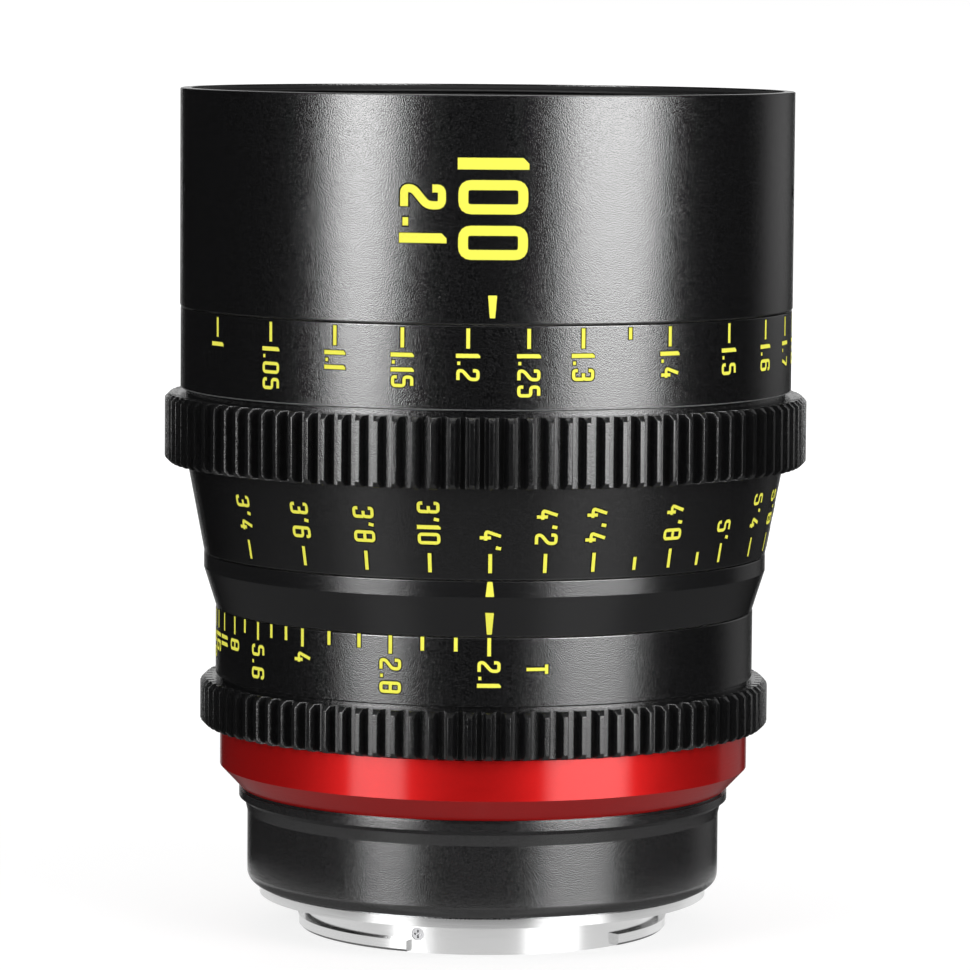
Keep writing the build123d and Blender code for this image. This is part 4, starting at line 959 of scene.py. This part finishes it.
class LENS_OT_edges(bpy.types.Operator):
    """Round the outer corners of the rings, where the black finish has worn thin"""

    bl_idname = "lens.edges"
    bl_label = "Ring edges"

    def execute(self, context):
        for name, body, node, size, upward in (
                ("front_foot_edge", "body", "front_barrel", BARREL_EDGE, False),
                ("metre_top_edge", "focus_ring", "focus_sleeve", RING_EDGE, True),
                ("stop_scale_top_edge", "iris_ring", "t_scale_ring", RING_EDGE, True),
                ("index_top_edge", "body", "index_ring", INDEX_EDGE, True)):
            level = top_of(node) if upward else foot_of(node)
            edge_band(name, body, radius_of(node), level, size, upward)
        edge_band(
            "front_rim_edge", "body", radius_of("front_barrel"), top_of("front_barrel"), BARREL_EDGE, True,
            "smooth_black")
        edge_band(
            "metre_foot_edge", "focus_ring", radius_of("focus_sleeve"), METRE_FOOT, RING_EDGE, False,
            "bare_edge")
        edge_band(
            "feet_foot_edge", "focus_ring", FEET_FOOT_RADIUS, foot_of("feet_scale_ring"), BARREL_EDGE, False)
        edge_band("stop_scale_foot_edge", "iris_ring", radius_of("t_scale_ring"), STOP_FOOT, RING_EDGE, False)
        return {"FINISHED"}


class LENS_OT_filter_thread(bpy.types.Operator):
    """Cut the fine thread that filters screw into"""

    bl_idname = "lens.filter_thread"
    bl_label = "Filter thread"

    def execute(self, context):
        pitch = sizes().thread_pitch
        turns, steps = 6, 120
        thread_depth, flank_top, crest_top, crest_foot = (
            share * pitch for share in (0.54, 0.86, 0.50, 0.38))
        sunk = 0.03
        low = top_of("filter_ring") - FILTER_THREAD_DEPTH + pitch / 2
        mesh = bmesh.new()
        crest = FILTER_THREAD_RADIUS - thread_depth
        root = FILTER_THREAD_RADIUS + sunk
        outline = ((root, low), (root, low + flank_top), (crest, low + crest_top), (crest, low + crest_foot))
        face = mesh.faces.new([mesh.verts.new((r * MM, 0.0, z * MM)) for r, z in outline])
        bmesh.ops.spin(
            mesh, geom=[face], cent=(0, 0, 0), axis=(0, 0, 1), dvec=(0, 0, pitch / steps * MM),
            angle=2 * pi * turns, steps=turns * steps, use_merge=False, use_duplicate=False)
        shown("filter_thread", closed(mesh, "filter_thread"), "trim_black", "body")
        return {"FINISHED"}


class LENS_OT_distance_scales(bpy.types.Operator):
    """Draw the metre and feet scales on the focusing ring"""

    bl_idname = "lens.distance_scales"
    bl_label = "Distance scales"

    def execute(self, context):
        radius = radius_of("focus_sleeve")
        metres = Marking("metre_scale", lambda z: radius, "focus_ring", "barrel_black")
        top = top_of("focus_sleeve")
        for text in ("1", "1.05", "1.1", "1.15", "1.2", "1.25", "1.3", "1.4", "1.5", "1.6", "1.7", "1.8",
                     "2", "2.3", "2.6", "3", "4", "5", "7", "10", "20", "~"):
            angle = focus_angle(None if text == "~" else float(text))
            metres.tick(angle, top - METRE_TICK_START, top - METRE_TICK_END)
            metres.number(text, angle, start=top - METRE_NUMBER_START)
        for value in (1.35, 1.9, 2.15, 2.45, 2.8, 3.5, 4.5, 6.0, 8.0, 14.0):
            metres.tick(focus_angle(value), top - METRE_TICK_START, top - METRE_SHORT_END)
        metres.finish()
        foot, high = foot_of("feet_scale_ring"), top_of("feet_scale_ring")
        slope = (FEET_TOP_RADIUS - FEET_FOOT_RADIUS) / (high - foot)
        feet = Marking(
            "feet_scale", lambda z: FEET_FOOT_RADIUS + (z - foot) * slope, "focus_ring", "barrel_black")
        for text in ("3'4", "3'6", "3'8", "3'10", "4'", "4'2", "4'4", "4'8", "5'", "5'4", "5'8", "6'", "7'",
                     "8'", "10'", "12'", "15'", "20'", "30'", "60'"):
            whole, inches = text.split("'")
            angle = focus_angle((float(whole) * 12 + float(inches or 0)) * MILLIMETRES_PER_INCH * MM)
            feet.tick(angle, foot + FEET_TICK_TOP, foot + FEET_TICK_FOOT)
            feet.number(text, angle, end=foot + (FEET_MARK_FOOT if text.endswith("'") else FEET_NUMBER_FOOT))
        feet.tick(focus_angle(None), foot + FEET_TICK_TOP, foot + FEET_TICK_FOOT)
        feet.number("~", focus_angle(None), end=foot + FEET_NUMBER_FOOT)
        for value in (54, 58, 78, 90, 108, 132, 162, 210, 300):     # inches
            feet.tick(
                focus_angle(value * MILLIMETRES_PER_INCH * MM), foot + FEET_SHORT_TOP, foot + FEET_TICK_FOOT)
        feet.finish()
        return {"FINISHED"}


class LENS_OT_stop_scale(bpy.types.Operator):
    """Draw the T-stop scale on the iris ring"""

    bl_idname = "lens.stop_scale"
    bl_label = "Stop scale"

    def execute(self, context):
        top = top_of("t_scale_ring")
        stops = Marking("stop_scale", lambda z: STOP_SCALE_RADIUS, "iris_ring", "barrel_black")
        place = STOP_NUMBER_STEP
        for text, angle in (
                ("2.1", 0.0), ("2.8", -20.5), ("4", -41.7), ("5.6", -56.0), ("8", -66.6), ("11", -73.4),
                ("16", -79.1), ("22", -83.0)):
            stops.tick(angle, top, top - STOP_TICK_LENGTH)
            place = min(angle, place - STOP_NUMBER_STEP)
            stops.number(text, place, start=top - STOP_NUMBER_START)
        for angle in (-6.8, -13.7, -27.5, -34.7, -46.5, -51.2, -61.5):
            stops.tick(angle, top, top - STOP_SHORT_LENGTH)
        stops.number("T", 9.8, start=top - STOP_LETTER_START)
        stops.finish()
        return {"FINISHED"}


class LENS_OT_index_marks(bpy.types.Operator):
    """Draw the fixed index marks and the plain numerals on the front barrel"""

    bl_idname = "lens.index_marks"
    bl_label = "Index marks"

    def execute(self, context):
        front = radius_of("front_barrel")
        foot = foot_of("front_barrel")
        wedge(
            "front_index", lambda z: front, foot + FRONT_INDEX_TOP, foot + FRONT_INDEX_FOOT,
            FRONT_INDEX_WIDE, FRONT_INDEX_NARROW)
        low, high = foot_of("index_ring"), top_of("index_ring")
        bevel = low + INDEX_BEVEL_HEIGHT
        slope = (INDEX_WALL_RADIUS - INDEX_FOOT_RADIUS) / (bevel - low)
        wedge(
            "focus_index", lambda z: INDEX_WALL_RADIUS, high - FOCUS_INDEX_TOP, bevel + FOCUS_INDEX_FOOT,
            INDEX_NARROW, INDEX_WIDE)
        wedge(
            "stop_index", lambda z: INDEX_FOOT_RADIUS + (z - low) * slope, low + STOP_INDEX_TOP,
            low + STOP_INDEX_FOOT, INDEX_WIDE, INDEX_NARROW)
        numerals = Marking("front_numerals", lambda z: front, "body", "barrel_black")
        for text, angle, height, cap, stroke, wide in FRONT_NUMERALS:
            numerals.number(text, angle, start=foot + height, cap=cap, stroke=stroke, wide=wide)
        numerals.finish()
        return {"FINISHED"}


class LENS_OT_studio(bpy.types.Operator):
    """Set up the floor, the soft boxes, the backdrop and the camera"""

    bl_idname = "lens.studio"
    bl_label = "Studio"

    def execute(self, context):
        context.scene.view_settings.view_transform = "Standard"
        self.floor()
        self.backdrop(context)
        for panel in PANELS:
            self.soft_box(*panel[:-1])
        self.soft_box_above()
        self.camera(context)
        return {"FINISHED"}

    def floor(self):
        mesh = bmesh.new()
        bmesh.ops.create_grid(mesh, x_segments=1, y_segments=1, size=FLOOR_SIZE)
        bmesh.ops.translate(mesh, verts=mesh.verts, vec=(0, 0, cad_box[0].z))
        floor = placed("floor", mesh_data(mesh, "floor"))
        material = bpy.data.materials.new("studio_floor")
        material.use_nodes = True
        shader = StageShader(material.node_tree)
        path = shader.node("ShaderNodeLightPath").outputs
        reach = shader.vector("LENGTH", shader.node("ShaderNodeTexCoord").outputs["Object"])
        ray = shader.node("ShaderNodeNewGeometry").outputs["Incoming"]
        steep = shader.vector("DOT_PRODUCT", ray, (0.0, 0.0, 1.0))
        around = shader.vector("NORMALIZE", shader.vector("MULTIPLY", ray, (-1.0, -1.0, 0.0)))
        # What gloss sees of the floor is painted reflection: glowing pools toward the soft boxes, dark
        # between them
        painted_pools = DARK_SIDES
        for _, azimuth, wide, _, distance, _, painted_pool in PANELS:
            facing = shader.panel(around, azimuth, wide, distance)
            painted_pools = shader.value("ADD", painted_pools, shader.value("MULTIPLY", facing, painted_pool))
        painted_grazing = shader.value("MULTIPLY", painted_pools, shader.between(steep, *GRAZING_STEEP))
        painted_grazing = shader.value("MULTIPLY", painted_grazing, shader.between(steep, *HORIZON_STEEP))
        # Painted reflection: the floor beside the lens and a little further out glows for gloss, less for
        # steeper rays
        beside = shader.value(
            "MULTIPLY", shader.between(reach, *BESIDE_REACH), shader.between(steep, *BESIDE_STEEP))
        glossy = shader.value("ADD", painted_grazing, beside)
        painted_round_about = shader.value(
            "MULTIPLY", shader.between(reach, *ROUND_REACH), shader.between(steep, *ROUND_STEEP))
        glossy = shader.value("ADD", glossy, painted_round_about)
        seen = shader.value("MAXIMUM", path["Is Camera Ray"], path["Is Transmission Ray"])
        pale = shader.value("MULTIPLY", seen, shader.between(reach, *GLOW_REACH))
        diffuse = shader.node("ShaderNodeBsdfDiffuse")
        diffuse.inputs["Color"].default_value = (*colours().floor, 1.0)
        both = shader.node("ShaderNodeAddShader")
        shader.fill(both, (diffuse.outputs[0], shader.glow(pale)))
        # Gloss sees only the painted reflection; camera and transmission rays see the pale floor with its
        # shadow
        mixed = shader.node("ShaderNodeMixShader")
        shader.fill(mixed, (path["Is Glossy Ray"], both.outputs[0], shader.glow(glossy)))
        out = shader.node("ShaderNodeOutputMaterial")
        shader.link(mixed.outputs[0], out.inputs["Surface"])
        floor.data.materials.append(material)

    def backdrop(self, context):
        world = bpy.data.worlds.new("studio_world")
        context.scene.world = world
        world.use_nodes = True
        shader = StageShader(world.node_tree)
        path = shader.node("ShaderNodeLightPath").outputs
        place = shader.node("ShaderNodeTexCoord").outputs["Generated"]
        height = shader.vector("DOT_PRODUCT", place, (0.0, 0.0, 1.0))
        glossy = shader.between(height, *OVERHEAD_HEIGHT)
        lit = shader.value("MULTIPLY", shader.value("SUBTRACT", 1.0, path["Is Glossy Ray"]), ROOM_LIGHT)
        level = shader.value("ADD", lit, shader.value("MULTIPLY", path["Is Glossy Ray"], glossy))
        seen = shader.value("MAXIMUM", path["Is Camera Ray"], path["Is Transmission Ray"])
        sky = shader.node("ShaderNodeBackground")
        sky.inputs["Color"].default_value = (1.0, 1.0, 1.0, 1.0)
        shader.link(shader.value("MAXIMUM", seen, level), sky.inputs["Strength"])
        out = shader.node("ShaderNodeOutputWorld")
        shader.link(sky.outputs[0], out.inputs["Surface"])

    def area_lamp(self, name, wide, tall, radiance):
        lamp = bpy.data.lights.new(name, "AREA")
        lamp.shape = "RECTANGLE"
        lamp.size = wide
        lamp.size_y = tall
        lamp.energy = radiance * wide * tall * pi
        return placed(name, lamp)

    def soft_box(self, name, azimuth, wide, tall, distance, radiance):
        """A tall lamp that stands on the floor and faces the lens; azimuth counts from the index side."""
        box = self.area_lamp(name, wide, tall, radiance)
        turn = radians(INDEX_SIDE + azimuth)
        place = Vector((distance * cos(turn), distance * sin(turn), tall / 2))
        aim = Vector((-cos(turn), -sin(turn), 0.0))
        box.visible_camera = False
        box.matrix_world = Matrix.Translation(place) @ aim.to_track_quat("-Z", "Y").to_matrix().to_4x4()

    def soft_box_above(self):
        box = self.area_lamp("top_box", TOP_BOX_SIZE, TOP_BOX_SIZE, TOP_BOX_RADIANCE)
        box.location = TOP_BOX_PLACE
        box.rotation_euler = (radians(TOP_BOX_TILT), 0.0, 0.0)

    def camera(self, context):
        lens = bpy.data.cameras.new("camera")
        lens.sensor_width = 36.0
        lens.lens = CAMERA_LENS
        lens.clip_start = 0.05
        lens.clip_end = 200.0
        camera = placed("camera", lens)
        turn = radians(CAMERA_TURN)
        camera.location = (-CAMERA_REACH * sin(turn), -CAMERA_REACH * cos(turn), CAMERA_HEIGHT)
        aim = Vector((0, 0, CAMERA_AIM)) - camera.location
        view = aim.to_track_quat("-Z", "Y").to_matrix()
        camera.rotation_euler = (view @ Matrix.Rotation(radians(CAMERA_ROLL), 3, "Z")).to_euler()
        context.scene.camera = camera


class LENS_PT_panel(bpy.types.Panel):
    """Lists the lens operators"""

    bl_idname = "LENS_PT_panel"
    bl_label = "Cinema prime lens"
    bl_space_type = "VIEW_3D"
    bl_region_type = "UI"
    bl_category = "Lens"

    def draw(self, context):
        for group, kind in ((sizes(), LensSizes), (colours(), LensColours)):
            for name in kind.__annotations__:
                self.layout.prop(group, name)
        for operator in OPERATORS:
            self.layout.operator(operator.bl_idname)


OPERATORS = (
    LENS_OT_finishes,
    LENS_OT_gears,
    LENS_OT_edges,
    LENS_OT_filter_thread,
    LENS_OT_distance_scales,
    LENS_OT_stop_scale,
    LENS_OT_index_marks,
    LENS_OT_studio,
)
CLASSES = (LensSizes, LensColours, *OPERATORS, LENS_PT_panel)


def register():
    for made in CLASSES:
        bpy.utils.register_class(made)
    bpy.types.Scene.lens_sizes = bpy.props.PointerProperty(type=LensSizes)
    bpy.types.Scene.lens_colours = bpy.props.PointerProperty(type=LensColours)


def unregister():
    del bpy.types.Scene.lens_colours
    del bpy.types.Scene.lens_sizes
    for made in reversed(CLASSES):
        bpy.utils.unregister_class(made)


def main():
    register()
    bpy.ops.lens.finishes()
    bpy.ops.lens.gears()
    bpy.ops.lens.edges()
    bpy.ops.lens.filter_thread()
    bpy.ops.lens.distance_scales()
    bpy.ops.lens.stop_scale()
    bpy.ops.lens.index_marks()
    bpy.ops.lens.studio()


if __name__ == "__main__":
    main()
